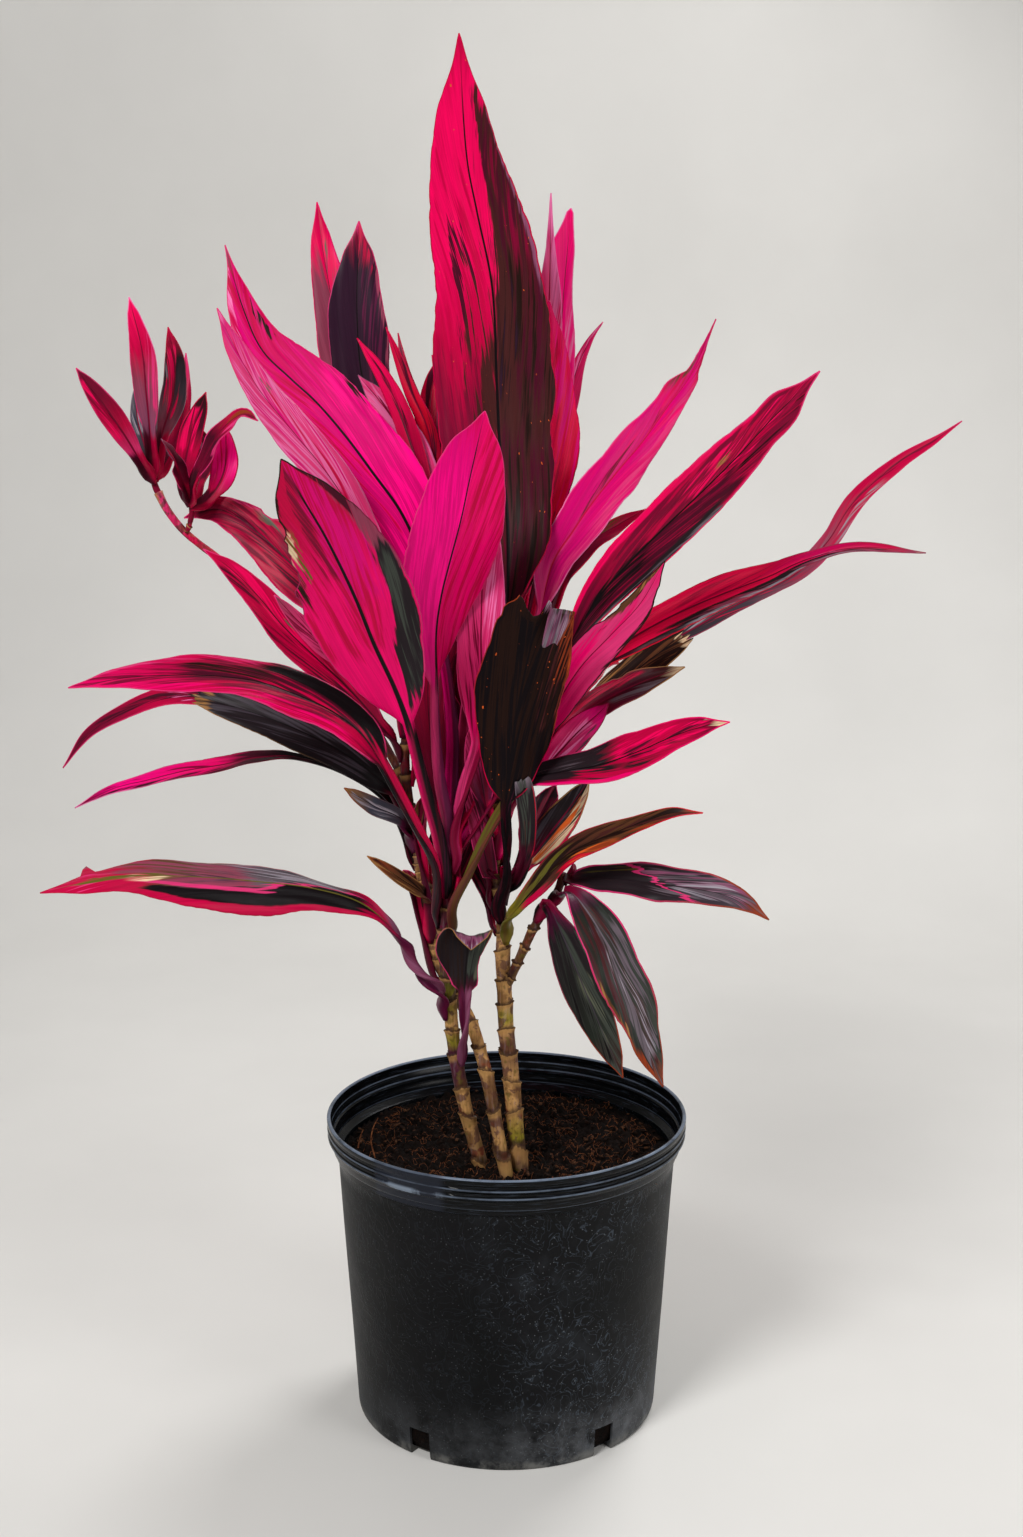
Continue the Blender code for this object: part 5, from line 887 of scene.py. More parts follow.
# How each tip's small leaves look
TIP_LOOKS = {
    "tip_right": (
        Look(((0, "pink"), (0.5, "pink"), (0.8, "rose"), (1, "pale")), (
            Stroke("pale", (0.55, 1.1), (0.1, 1.1), 0.75), Stroke("rose", (0.4, 0.9), (-0.9, 0.1), 0.5)),
            edge=("rose", "pale", 0.6)),
        Look(((0, "rose"), (0.3, "hot"), (0.7, "hot"), (1, "pink")), (
            Stroke("pale", (0.1, 0.75), (0.3, 0.9), 0.45),), edge=("rose", "pale", 0.7)),
        Look(((0, "crimson"), (0.6, "rose"), (1, "pink")), (
            Stroke("pale", (0.3, 1.0), (-0.6, 0.2), 0.5),), edge=("rose", "rose", 0.6)),
        Look(((0, "wine"), (0.4, "red"), (1, "crimson")), (
            Stroke("maroon", (0.2, 0.9), (-0.8, 0.0), 0.5),)),
    ),
    "tip_left": (
        Look(((0, "wine"), (0.5, "crimson"), (1, "flame")), (
            Stroke("maroon", (0.3, 0.9), (-0.2, 0.3), 0.5),)),
        Look(((0, "rose"), (0.4, "pale"), (0.8, "pale"), (1, "rose")), (
            Stroke("rose", (0.0, 1.0), (-1.1, 1.1), 0.5), Stroke("wine", (0.4, 0.95), (-0.1, 0.2), 0.4)),
            edge=("pale", "mauve", 0.6)),
        Look(((0, "wine"), (0.5, "red"), (1, "crimson")), (
            Stroke("maroon", (0.3, 0.9), (0.0, 0.9), 0.5),)),
        Look(((0, "maroon"), (0.5, "aubergine"), (1, "dusty")), (
            Stroke("crimson", (0.2, 0.9), (0.4, 1.1), 0.6),)),
        Look(((0, "wine"), (0.5, "crimson"), (0.9, "red"), (1, "crimson")), (
            Stroke("maroon", (0.1, 0.9), (-1.1, -0.1), 0.6),)),
        Look(((0, "mauve"), (0.5, "dusty"), (1, "rose")), (
            Stroke("wine", (0.2, 0.9), (-0.6, 0.6), 0.4),)),
    ),
    "tip_far_left_upper": (
        Look(((0, "mauve"), (0.35, "dusty"), (0.6, "crimson"), (1, "flame")), (
            Stroke("rose", (0.2, 0.75), (0.2, 0.9), 0.5), Stroke("maroon", (0.3, 1.0), (-0.1, 0.1), 0.4)),
            edge=("rose", "pale", 0.5)),
        Look(((0, "dusty"), (0.4, "grey"), (0.7, "charcoal"), (1, "crimson")), (
            Stroke("flame", (0.2, 0.85), (-0.8, 0.4), 0.45),
            Stroke("silver_sheen", (0.5, 0.9), (-1.1, -0.5), 0.4)), edge=("silver_sheen", "crimson", 0.5)),
        Look(((0, "rose"), (0.3, "crimson"), (0.7, "wine"), (1, "wine")), (
            Stroke("flame", (0.2, 0.9), (-1.1, -0.3), 0.6), Stroke("black", (0.2, 0.95), (-0.1, 0.1), 0.6)),
            edge=("rose", "rose", 0.6)),
        Look(((0, "grey"), (0.5, "slate"), (1, "ash")), (
            Stroke("silver_sheen", (0.3, 0.7), (-0.8, 0.4), 0.3),), edge=("dusty", "silver_sheen", 0.5)),
        Look(((0, "wine"), (0.5, "crimson"), (1, "rose")), edge=("wine", "rose", 0.5)),
        Look(((0, "wine"), (0.5, "crimson"), (1, "wine")), (
            Stroke("maroon", (0.2, 0.9), (-0.3, 0.5), 0.5),)),
    ),
    "tip_far_left_lower": (
        Look(((0, "wine"), (0.3, "crimson"), (0.6, "maroon"), (1, "umber")), (
            Stroke("flame", (0.3, 0.8), (-0.8, 0.4), 0.5),)),
        Look(((0, "wine"), (0.4, "maroon"), (0.7, "crimson"), (1, "maroon")), (
            Stroke("rose", (0.3, 0.9), (0.5, 1.1), 0.5), Stroke("rust", (0.5, 1.0), (-0.6, 0.2), 0.4)),
            edge=("rose", "rose", 0.7)),
        Look(((0, "crimson"), (0.4, "hot"), (1, "pink")), (
            Stroke("crimson", (0.1, 0.9), (-0.7, 0.2), 0.4),)),
        Look(((0, "wine"), (0.4, "maroon"), (1, "dusty")), (
            Stroke("crimson", (0.1, 0.9), (-0.8, 0.0), 0.5),), edge=("rose", "mauve", 0.6)),
        Look(((0, "maroon"), (0.5, "wine"), (1, "bronze")), (
            Stroke("mauve", (0.2, 0.9), (-0.5, 0.4), 0.4),)),
    ),
}

# Each stem's ring scars, as rows of the photo, and the bark's colours by row
BARK = {
    "cane_left": ((1156, 1110, 1085, 1045, 1028, 996, 975, 950, 925, 905), (
        (1160, "bark"), (1128, "tan"), (1090, "tan"), (1084, "violet"), (1050, "plum"), (1040, "lime"),
        (1020, "tan"), (1000, "lime"), (985, "olive"), (940, "plum"), (900, "wine"), (838, "crimson"))),
    "cane_middle": ((1139, 1104, 1067, 1043, 1021, 990, 954, 935, 912, 887, 878, 870, 862, 854, 846, 838, 800,
                     770, 740, 700, 660, 630), (
        (1168, "bark"), (1139, "tan"), (1104, "bark"), (1067, "tan"), (1000, "tan"), (935, "tan"),
        (912, "lime"), (890, "dry"), (850, "tan"), (820, "brown"), (745, "wine"), (600, "crimson"))),
    "cane_right": ((1139, 1107, 1077, 1047, 1026, 999, 976, 945, 930, 880, 872, 864, 856, 848, 840, 832,
                    826, 800, 780, 760, 735), (
        (1163, "bark"), (1142, "bark"), (1136, "lime"), (1107, "tan"), (1077, "tan"), (1047, "violet"),
        (1026, "tan"), (1018, "lime"), (1000, "tan"), (945, "tan"), (900, "bark"), (850, "tan"),
        (790, "brown"), (715, "wine"))),
    "branch_right": ((975, 960, 945, 925, 905), (
        (985, "bark"), (940, "brown"), (905, "scar"), (872, "plum"))),
    "branch_far_left": ((765, 730, 700, 665, 640, 610, 590, 575), (
        (797, "brown"), (700, "wine"), (640, "wine"), (590, "crimson"), (540, "crimson"), (492, "rose"))),
    "shoot_far_left": ((530, 524), ((533, "wine"), (518, "crimson"))),
}


class Graph:
    """A material's nodes, made by short calls that each give back an output socket."""

    def __init__(self, name):
        self.material = bpy.data.materials.new(name)
        self.material.use_nodes = True
        self.tree = self.material.node_tree
        self.shader = self.tree.nodes["Principled BSDF"]

    def node(self, kind, values=(), **settings):
        made = self.tree.nodes.new(kind)
        for key, value in settings.items():
            setattr(made, key, value)
        for socket, value in values:
            self.plug(made.inputs[socket], value)
        return made

    def plug(self, socket, value):
        if isinstance(value, bpy.types.NodeSocket):
            self.tree.links.new(value, socket)
        else:
            socket.default_value = value

    def attribute(self, name):
        return self.node("ShaderNodeAttribute", attribute_name=name).outputs["Vector"]

    def split(self, vector):
        return self.node("ShaderNodeSeparateXYZ", [(0, vector)]).outputs

    def vector(self, x, y, z):
        return self.node("ShaderNodeCombineXYZ", [(0, x), (1, y), (2, z)]).outputs[0]

    def math(self, operation, a, b=0.0, c=0.0):
        return self.node("ShaderNodeMath", [(0, a), (1, b), (2, c)], operation=operation).outputs[0]

    def times(self, a, b):
        return self.math("MULTIPLY", a, b)

    def scaled(self, value, by, plus):
        return self.math("MULTIPLY_ADD", value, by, plus)

    def swayed(self, value, sway, much):
        """The value, which a noise moves down and up by half of this much."""
        return self.scaled(self.math("SUBTRACT", sway, 0.5), much, value)

    def noise(self, vector, scale=1.0, detail=2.0, rough=0.5):
        values = [("Vector", vector), ("Scale", scale), ("Detail", detail), ("Roughness", rough)]
        return self.node("ShaderNodeTexNoise", values).outputs["Fac"]

    def cells(self, vector, scale):
        values = [("Vector", vector), ("Scale", scale)]
        return self.node("ShaderNodeTexVoronoi", values).outputs["Distance"]

    def step(self, value, low, high):
        """0 below low, 1 above high, and a smooth rise between. High may be the lower one."""
        values = [("Value", value), ("From Min", low), ("From Max", high)]
        return self.node("ShaderNodeMapRange", values, interpolation_type="SMOOTHSTEP").outputs[0]

    def ramp(self, value, stops):
        """The colours of the stops, blended evenly from each place to the next."""
        made = self.node("ShaderNodeValToRGB", [(0, value)])
        points = made.color_ramp.elements
        for k, (place, colour) in enumerate(stops):
            point = points[k] if k < 2 else points.new(place)
            point.position = place
            point.color = (*colour, 1)
        return made.outputs[0]

    def line(self, value, start, end, first, last):
        """first at start, last at end, and evenly between them from one to the other."""
        values = [("Value", value), ("From Min", start), ("From Max", end)]
        return self.node("ShaderNodeMapRange", [*values, ("To Min", first), ("To Max", last)]).outputs[0]

    def mix(self, share, a, b, blend="MIX"):
        made = self.node("ShaderNodeMix", data_type="RGBA", blend_type=blend)
        for index, value in ((0, share), (6, a), (7, b)):
            self.plug(made.inputs[index], (*value, 1) if isinstance(value, tuple) else value)
        return made.outputs[2]

    def lay(self, colour, mask, much, paint):
        """The colour, with this much of a paint over it where the mask is."""
        return self.mix(self.times(mask, much), colour, paint)

    def darken(self, colour, shade):
        return self.mix(1.0, colour, self.vector(shade, shade, shade), "MULTIPLY")

    def bump(self, height, strength, distance):
        values = [("Height", height), ("Strength", strength), ("Distance", distance)]
        self.plug(self.shader.inputs["Normal"], self.node("ShaderNodeBump", values).outputs[0])

    def finish(self, colour, roughness, mirror=None):
        """The material, with how strongly it mirrors where that isn't the shader's own value."""
        if mirror is not None:
            self.shader.inputs["Specular IOR Level"].default_value = mirror
        self.plug(self.shader.inputs["Base Color"], colour)
        self.plug(self.shader.inputs["Roughness"], roughness)
        return self.material


def stroke_mask(g, stroke, near, side, streaks):
    """Where a stroke lies on its blade."""
    (start, end), soft = stroke.along, stroke.soft
    left, right = stroke.across
    last_left, last_right = stroke.then or stroke.across
    mask = streaks
    if start > 0:
        mask = g.times(mask, g.step(near, start - soft, start + soft))
    if end < 1:
        mask = g.times(mask, g.step(near, end + soft, end - soft))
    if left > -1 or last_left > -1:
        inside = g.math("SUBTRACT", side, g.line(near, start, end, left, last_left))
        mask = g.times(mask, g.step(inside, -soft, soft))
    if right < 1 or last_right < 1:
        inside = g.math("SUBTRACT", g.line(near, start, end, right, last_right), side)
        mask = g.times(mask, g.step(inside, -soft, soft))
    return mask


def leaf_material(name, look):
    """A leaf's surface. The mesh says how far along and across its blade each point is. Some strokes and
    edges are painted sheen and highlights, and the stalk's sides painted light and shade.
    """
    g = Graph(name)
    seed = random.Random(name).uniform(0, 90)
    u, s, _ = g.split(g.attribute("blade"))
    along, across, edge = g.split(g.attribute("flat"))
    out = g.math("ABSOLUTE", across)
    vein = g.scaled(g.math("SIGN", across), 0.4, g.scaled(along, -VEIN_SLANT, out))
    fine = g.noise(g.vector(g.times(along, 14), g.times(vein, 900), seed), detail=3)
    dash = g.noise(g.vector(g.times(along, 16), g.times(vein, 330), seed + 9), detail=4)
    broad = g.noise(g.vector(g.times(along, 9), g.times(across, 70), seed + 4))
    near = g.swayed(g.swayed(u, broad, 0.16), dash, 0.26)
    side = g.swayed(g.swayed(s, fine, 0.08), broad, 0.14)
    colour = g.ramp(near, [(place, TONES[k]) for place, k in look.ground])
    for k, stroke in enumerate(look.strokes):
        streaks = 1.0
        if stroke.there < 1:
            level = 0.5 + (0.5 - stroke.there) * 0.3
            streak = g.swayed(dash if k % 2 == 0 else g.math("SUBTRACT", 1.0, dash), fine, 0.5)
            streaks = g.step(streak, level - 2.5 * stroke.soft, level + 2.5 * stroke.soft)
        colour = g.mix(stroke_mask(g, stroke, near, side, streaks), colour, TONES[stroke.paint])
    grain = g.swayed(1.0, fine, LEAF_GRAIN * 3)
    colour = g.darken(colour, g.times(grain, g.scaled(broad, LEAF_GRAIN, 1.0 - LEAF_GRAIN / 2)))
    if look.spots:
        spot = g.noise(g.vector(g.times(along, 260), g.times(across, 420), seed), detail=1)
        few = g.step(spot, 0.80 - 0.04 * look.spots, 0.83 - 0.04 * look.spots)
        colour = g.lay(colour, few, g.step(broad, 0.40, 0.52), TONES["orange"])
    rib = g.times(g.scaled(u, -0.75, 1.0), look.rib[1] / 1000)
    on_rib = g.step(g.math("DIVIDE", out, rib), 1.25, 0.8)
    colour = g.lay(colour, on_rib, g.step(u, 1.0, 0.85), TONES[look.rib[0]])
    # The edge band: the margin's own colour, and where it is pale a painted rim highlight. worn is how wide
    # the band is.
    first, last, wide = look.edge
    worn = g.times(g.scaled(broad, 1.6, 0.2), wide / 1000)
    on_edge = g.times(g.step(g.math("DIVIDE", edge, worn), 1.3, 0.7), g.step(u, 0.0, 0.06))
    colour = g.mix(on_edge, colour, g.ramp(near, [(0.3, TONES[first]), (0.8, TONES[last])]))
    # The stalk's two sides: its own colours, with painted light on one side and painted shade on the other
    halfway = g.step(g.math("DIVIDE", across, STALK_HALF), -0.4, 0.7)
    stalk = g.mix(halfway, TONES[look.stalk[0]], TONES[look.stalk[1]])
    stalk = g.lay(stalk, g.step(dash, 0.45, 0.62), 0.25, TONES["wine"])
    stalk = g.lay(stalk, g.step(fine, 0.56, 0.66), 0.35, TONES["plum"])
    colour = g.mix(g.step(near, 0.05, -0.05), colour, stalk)
    g.bump(g.math("ADD", fine, g.times(dash, 0.8)), 0.30, 0.0004)
    return g.finish(colour, g.scaled(dash, 0.22, look.gloss - 0.11), look.mirror)


def cane_material(name, zones):
    """A cane's bark: colours from foot to end, blotches, streaks and a dark scar with a pale lip below."""
    g = Graph(name)
    share, _, rings = g.split(g.attribute("stem"))
    place = g.node("ShaderNodeTexCoord").outputs["Object"]
    x, y, z = g.split(place)
    grain = g.noise(g.vector(g.times(x, 520), g.times(y, 520), g.times(z, 70)), detail=4)
    blotch = g.noise(place, 120, detail=4)
    patch = g.noise(place, 60, detail=4)
    colour = g.ramp(g.swayed(share, patch, 0.05), [(stop, TONES[k]) for stop, k in zones])
    for value, low, high, much, paint in (
            (blotch, 0.50, 0.56, 0.75, "violet"), (patch, 0.48, 0.40, 0.65, "brown"),
            (grain, 0.56, 0.66, 0.35, "ash"), (blotch, 0.40, 0.34, 0.45, "olive"),
            (patch, 0.60, 0.68, 0.5, "rust")):
        colour = g.lay(colour, g.step(value, low, high), much, TONES[paint])
    colour = g.darken(colour, g.scaled(grain, 1.9, 0.1))
    past = g.math("FRACT", g.swayed(rings, grain, 0.08))
    for low, high, much, paint in ((0.74, 0.92, 0.75, "tan"), (0.955, 0.985, 0.85, "scar"),
                                   (0.16, 0.0, 0.75, "scar")):
        colour = g.lay(colour, g.step(past, low, high), much, TONES[paint])
    g.bump(g.math("ADD", grain, g.times(blotch, 0.6)), 0.7, 0.0010)
    return g.finish(colour, g.scaled(blotch, 0.3, 0.45), LEAF_MIRROR)


def pot_material():
    """Black moulded plastic: dull, with fine curling scuffs, glossier on its rim with painted highlight
    lines, dusty at its foot.
    """
    g = Graph("scuffed_black_plastic")
    place = g.node("ShaderNodeTexCoord").outputs["Object"]
    x, y, z = g.split(place)
    cloud = g.noise(place, 11, detail=4)
    dust = g.noise(place, 38, detail=6, rough=0.65)
    values = [("Vector", place), ("Scale", 60), ("Detail", 2), ("Distortion", 2.2)]
    curl = g.node("ShaderNodeTexNoise", values).outputs["Fac"]
    curl = g.math("ABSOLUTE", g.math("SUBTRACT", curl, 0.5))
    speck = g.cells(place, 300)
    scratch = g.noise(g.vector(g.times(x, 60), g.times(y, 60), g.times(z, 1500)), detail=3)
    on_wall = g.step(z, POT_HEIGHT - RIM_BAND + 0.001, POT_HEIGHT - RIM_BAND - 0.002)
    on_band = g.math("SUBTRACT", 1.0, on_wall)
    # The wall's marks grow denser towards the right, which makes that side lighter.
    to_right = g.times(g.step(x, -0.06, 0.10), g.step(cloud, 0.35, 0.60))
    colour = g.mix(g.step(cloud, 0.35, 0.75), POT_TONES["black"], POT_TONES["faded"])
    for value, low, high, more, least, paint in (
            (curl, 0.020, 0.004, 0.42, 0.06, "line"), (dust, 0.45, 0.70, 0.13, 0.04, "haze"),
            (speck, 0.15, 0.08, 0.38, 0.14, "speck")):
        mark = g.times(g.step(value, low, high), g.scaled(to_right, more, least))
        colour = g.lay(colour, mark, on_wall, POT_TONES[paint])
    foot = g.times(g.step(z, 0.060, 0.004), g.scaled(to_right, 0.6, 0.25))
    dusty = g.times(foot, g.step(dust, 0.30, 0.66))
    colour = g.mix(dusty, colour, POT_TONES["dust"])
    hem = g.times(g.step(z, 0.010, 0.003), g.step(dust, 0.42, 0.60))
    colour = g.lay(colour, hem, 0.45, POT_TONES["hem"])
    colour = g.lay(colour, g.times(g.step(scratch, 0.54, 0.70), on_band), 0.14, POT_TONES["scratch"])
    # Painted highlights: pale lines along the rim's lip and ridges, broken up by the dust noise
    for depth, wide, much in RIM_HIGHLIGHTS:
        off = g.math("ABSOLUTE", g.math("SUBTRACT", z, POT_HEIGHT - depth))
        broken = g.times(g.step(dust, 0.2, 0.6), much)
        colour = g.lay(colour, g.step(off, wide * 1.6, wide * 0.6), broken, POT_TONES["rim_highlight"])
    left, right = WORN_SIDES
    patch = g.times(g.step(x, left - 0.004, left), g.step(x, right + 0.008, right))
    patch = g.times(g.times(patch, g.step(y, 0.0, -0.02)), on_band)
    colour = g.lay(colour, patch, 0.5, POT_TONES["patch"])
    (fades, starts), (ends, faded) = WORN_BAND
    scuff = g.times(g.step(z, POT_HEIGHT - fades, POT_HEIGHT - starts), g.step(dust, 0.40, 0.56))
    scuff = g.times(scuff, g.step(z, POT_HEIGHT - faded, POT_HEIGHT - ends))
    colour = g.lay(colour, g.times(patch, scuff), 0.8, POT_TONES["scuff"])
    relief = g.scaled(g.step(curl, 0.04, 0.0), 0.5, g.math("ADD", dust, cloud))
    g.bump(g.times(relief, on_wall), 0.35, 0.0006)
    shine = g.scaled(dust, 0.25, g.line(z, 0.200, 0.208, 0.36, 0.12))
    return g.finish(colour, g.math("ADD", shine, g.times(dusty, 0.3)), POT_MIRROR)


def soil_material(name, dark, light, scale):
    """Damp, crumbly stuff between two colours, with paler grains."""
    g = Graph(name)
    place = g.node("ShaderNodeTexCoord").outputs["Object"]
    coarse = g.noise(place, scale, detail=5, rough=0.7)
    fine = g.noise(place, scale * 6, detail=3)
    colour = g.mix(g.step(coarse, 0.35, 0.7), tone(*dark), tone(*light))
    colour = g.lay(colour, g.step(fine, 0.64, 0.74), 0.5, tone(84, 50, 34))
    g.bump(g.math("ADD", coarse, fine), 0.8, 0.0016)
    return g.finish(colour, 0.95, SOIL_MIRROR)


def smooth(points):
    """A smooth line through the points, with PIECES short steps from each to the next."""
    places = [np.array(p, float) for p in points]
    places = [2 * places[0] - places[1], *places, 2 * places[-1] - places[-2]]
    line = [places[1]]
    for before, start, end, after in zip(places, places[1:], places[2:], places[3:]):
        t0 = 0.0
        t1 = t0 + math.sqrt(np.linalg.norm(start - before))
        t2 = t1 + math.sqrt(np.linalg.norm(end - start))
        t3 = t2 + math.sqrt(np.linalg.norm(after - end))
        for t in np.linspace(t1, t2, PIECES + 1)[1:]:
            a1 = ((t1 - t) * before + (t - t0) * start) / (t1 - t0)
            a2 = ((t2 - t) * start + (t - t1) * end) / (t2 - t1)
            a3 = ((t3 - t) * end + (t - t2) * after) / (t3 - t2)
            b1 = ((t2 - t) * a1 + (t - t0) * a2) / (t2 - t0)
            b2 = ((t3 - t) * a2 + (t - t1) * a3) / (t3 - t1)
            line.append(((t2 - t) * b1 + (t - t1) * b2) / (t2 - t1))
    return np.array(line)


def lengths(line):
    """How far along the line each of its points lies."""
    return np.concatenate([[0], np.cumsum(np.linalg.norm(np.diff(line, axis=0), axis=1))])


def read(line, along, at):
    """The line's places at these lengths."""
    return np.stack([np.interp(at, along, line[:, k]) for k in range(3)], axis=-1)


def unit(vectors):
    return vectors / np.maximum(np.linalg.norm(vectors, axis=-1, keepdims=True), 1e-12)


def eased(x, low, high):
    """0 below low, 1 above high, and a smooth rise between."""
    t = np.clip((np.asarray(x, float) - low) / (high - low), 0, 1)
    return t * t * (3 - 2 * t)


def spread(values, like):
    """The values, repeated over a grid like the other."""
    return np.broadcast_to(values, like.shape)


def toward(azimuth, height):
    """The way that looks out at this azimuth, 0 to the front and 90 to the right, this many degrees up."""
    a, h = math.radians(azimuth), math.radians(height)
    return np.array((math.sin(a) * math.cos(h), -math.cos(a) * math.cos(h), math.sin(h)))


def ripple(draw, x, shortest, longest, waves):
    """An uneven wave over x, in metres, between -1 and 1, whose waves are this short to this long."""
    total = 0
    for _ in range(waves):
        total = total + np.sin(2 * np.pi * x / draw.uniform(shortest, longest) + draw.uniform(0, 6.28))
    return total / waves


def linked(name, data):
    """A new object, in the scene."""
    made = bpy.data.objects.new(name, data)
    bpy.context.scene.collection.objects.link(made)
    return made


class Shape:
    """A mesh that grows skin by skin, each closed, with values that its materials read."""

    def __init__(self):
        self.points, self.faces, self.slots = [], [], []
        self.values = {}
        self.count = 0

    def add(self, points, faces, slot=0, **values):
        self.points.append(points.reshape(-1, 3))
        self.faces.append([tuple(int(i) + self.count for i in face) for face in faces])
        self.slots += [slot] * len(faces)
        for key, value in values.items():
            self.values.setdefault(key, []).append(value.reshape(-1, 3))
        self.count += len(self.points[-1])

    def done(self, name, materials, node):
        """The piece, which takes its finish from the slot and stands for the CAD node where there is one."""
        mesh = bpy.data.meshes.new(name)
        faces = [face for part in self.faces for face in part]
        mesh.from_pydata(np.concatenate(self.points).tolist(), [], faces)
        for key, parts in self.values.items():
            layer = mesh.attributes.new(key, "FLOAT_VECTOR", "POINT")
            layer.data.foreach_set("vector", np.concatenate(parts).astype(np.float32).reshape(-1))
        for material in materials:
            mesh.materials.append(material)
        mesh.polygons.foreach_set("material_index", self.slots)
        mesh.shade_smooth()
        made = linked(name, mesh)
        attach(made, "root")
        if node:
            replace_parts(made, node)
        return made


def grid_faces(rows, columns, around=False, flip=False):
    """The four-sided faces of a grid of points, which closes on itself across when around is set."""
    faces = []
    for i in range(rows - 1):
        for k in range(columns if around else columns - 1):
            a, b = i * columns + k, i * columns + (k + 1) % columns
            face = (a, b, b + columns, a + columns)
            faces.append(face[::-1] if flip else face)
    return faces


def sheet_faces(rows, columns):
    """The faces of a thin sheet: a grid over another one, joined all round."""
    top, count = grid_faces(rows, columns), rows * columns
    low = [tuple(i + count for i in face[::-1]) for face in top]
    ring = [*range(columns), *(i * columns + columns - 1 for i in range(1, rows)),
            *(count - columns + k for k in range(columns - 2, -1, -1)),
            *(i * columns for i in range(rows - 2, 0, -1))]
    return top + low + [(b, a, a + count, b + count) for a, b in zip(ring, ring[1:] + ring[:1])]


def stem_line(points, buried=0.0):
    """A stem's axis and radii, as in the solids, before its rings."""
    places = [np.array(seen(*p[:3])) for p in points]
    radii = [p[3] / 1000 for p in points]
    if buried:
        places.insert(0, places[0] + unit(places[0] - places[1]) * buried)
        radii.insert(0, radii[0])
    line = smooth(places)
    along = lengths(line)
    return line, np.interp(along, along[::PIECES], radii)


def foot_on(stem, height, side):
    """Where a leaf clasps a stem: two places for its stalk to start from, and the way out from the stem."""
    line, radii = stem
    z = height / 1000
    place = np.array([np.interp(z, line[:, 2], line[:, k]) for k in range(3)])
    beyond = np.array([np.interp(z + CLASP_RISE, line[:, 2], line[:, k]) for k in range(3)])
    if beyond[2] < z + CLASP_RISE:
        beyond = place + unit(line[-1] - line[-2]) * CLASP_RISE
    up = unit(beyond - place)
    out = toward(side, 0)
    out = unit(out - up * (out @ up))
    reach = np.interp(z, line[:, 2], radii) * (1 + RING_SWELL / 2) + CLASP_CLEAR + STALK / 2
    return place + out * reach, beyond + out * (reach + CLASP_LEAN), out, reach


def half_section(half, fold, bend, share):
    """Across and up from the midrib at this share of a half blade, which rises by fold and bends by bend."""
    bend = np.where(np.abs(bend) < 1e-4, 1e-4, bend)
    across = half * (np.sin(fold + bend * share) - np.sin(fold)) / bend
    up = half * (np.cos(fold) - np.cos(fold + bend * share)) / bend
    return across, up


def blade_half(u, wide, peak, full):
    """Half the width of a blade at u, from 0 at its start to 1 at its tip."""
    p = full * peak / (1 - peak)
    high = peak ** p * (1 - peak) ** full
    return wide / 2 * np.clip(u, 0, 1) ** p * np.clip(1 - u, 0, 1) ** full / high


def shares_for(wide):
    """The shares of a half blade at which its places lie: close at the midrib and at the edge."""
    inner = (0, 0.03, 0.07, 0.12) if wide > 30 else (0, 0.08, 0.18)
    count = max(5, round(wide / 2000 / COLUMN_STEP))
    outer = [inner[-1] + (1 - inner[-1]) * (0.7 * k / count + 0.3 * math.sin(math.pi / 2 * k / count))
             for k in range(1, count + 1)]
    half = [*inner, *outer]
    return np.array([-s for s in half[:0:-1]] + half)


def edge_share(draw, name, side, at, u):
    """The share of a half blade's width that is there, with its nibbled edge and its bites."""
    there = 1 - NIBBLE * np.clip(ripple(draw, at, 0.004, 0.03, 6) + 0.2, 0, 1)
    there = there + UNEVEN * ripple(draw, at, 0.05, 0.14, 3)
    for bitten, (first, last), deep in BITES.get(name, ()):
        broad = deep < 0 or last - first > BROAD_BITE
        ragged = 1.0 if broad else 0.7 + 0.3 * ripple(draw, at, 0.003, 0.012, 4)
        slope = (last - first) / 2 if broad else BITE_SLOPE
        into = eased(u, first, first + slope) * (1 - eased(u, last - slope, last))
        there = there - deep * ragged * into * (bitten == side)
    return there


def torn_back(draw, leaf, inside, shares):
    """How far back a torn leaf's ragged end lies, at each of its places."""
    jag = [draw.uniform(0, 1) for _ in range(JAGS)]
    jag = np.interp(np.linspace(-1, 1, len(shares)), np.linspace(-1, 1, JAGS), jag)
    back = eased(inside, 0.82, 1.0) * jag[None, :] * leaf.wide / 1000 * JAG_DEEP
    if leaf.name in ROLLED:
        beside = ROLLED[leaf.name][1]
        back = back * (1 - eased(shares, beside - ROLL_BLEND, beside + ROLL_BLEND))[None]
    return back


def rolled(draw, name, at, long, shares):
    """How far on and how far up a rolled leaf's end goes from where it would lie flat."""
    roll_from, beside, longer, radius, most = ROLLED[name]
    uneven = ripple(draw, shares, 0.5, 1.5, 5)
    radius = radius * (1 + 0.3 * ripple(draw, shares, 0.5, 1.5, 3))[None]
    far = np.clip(at - roll_from * long, 0, None)[:, None]
    far = far * eased(shares, beside - ROLL_BLEND, beside + ROLL_BLEND)[None]
    past = far * (1 + longer * (1 + 0.3 * uneven[None]))
    angle = np.minimum(past / radius, math.radians(most))
    past = past - angle * radius
    ahead = radius * np.sin(angle) + past * np.cos(angle)
    return ahead - far, radius * (1 - np.cos(angle)) + past * np.sin(angle)


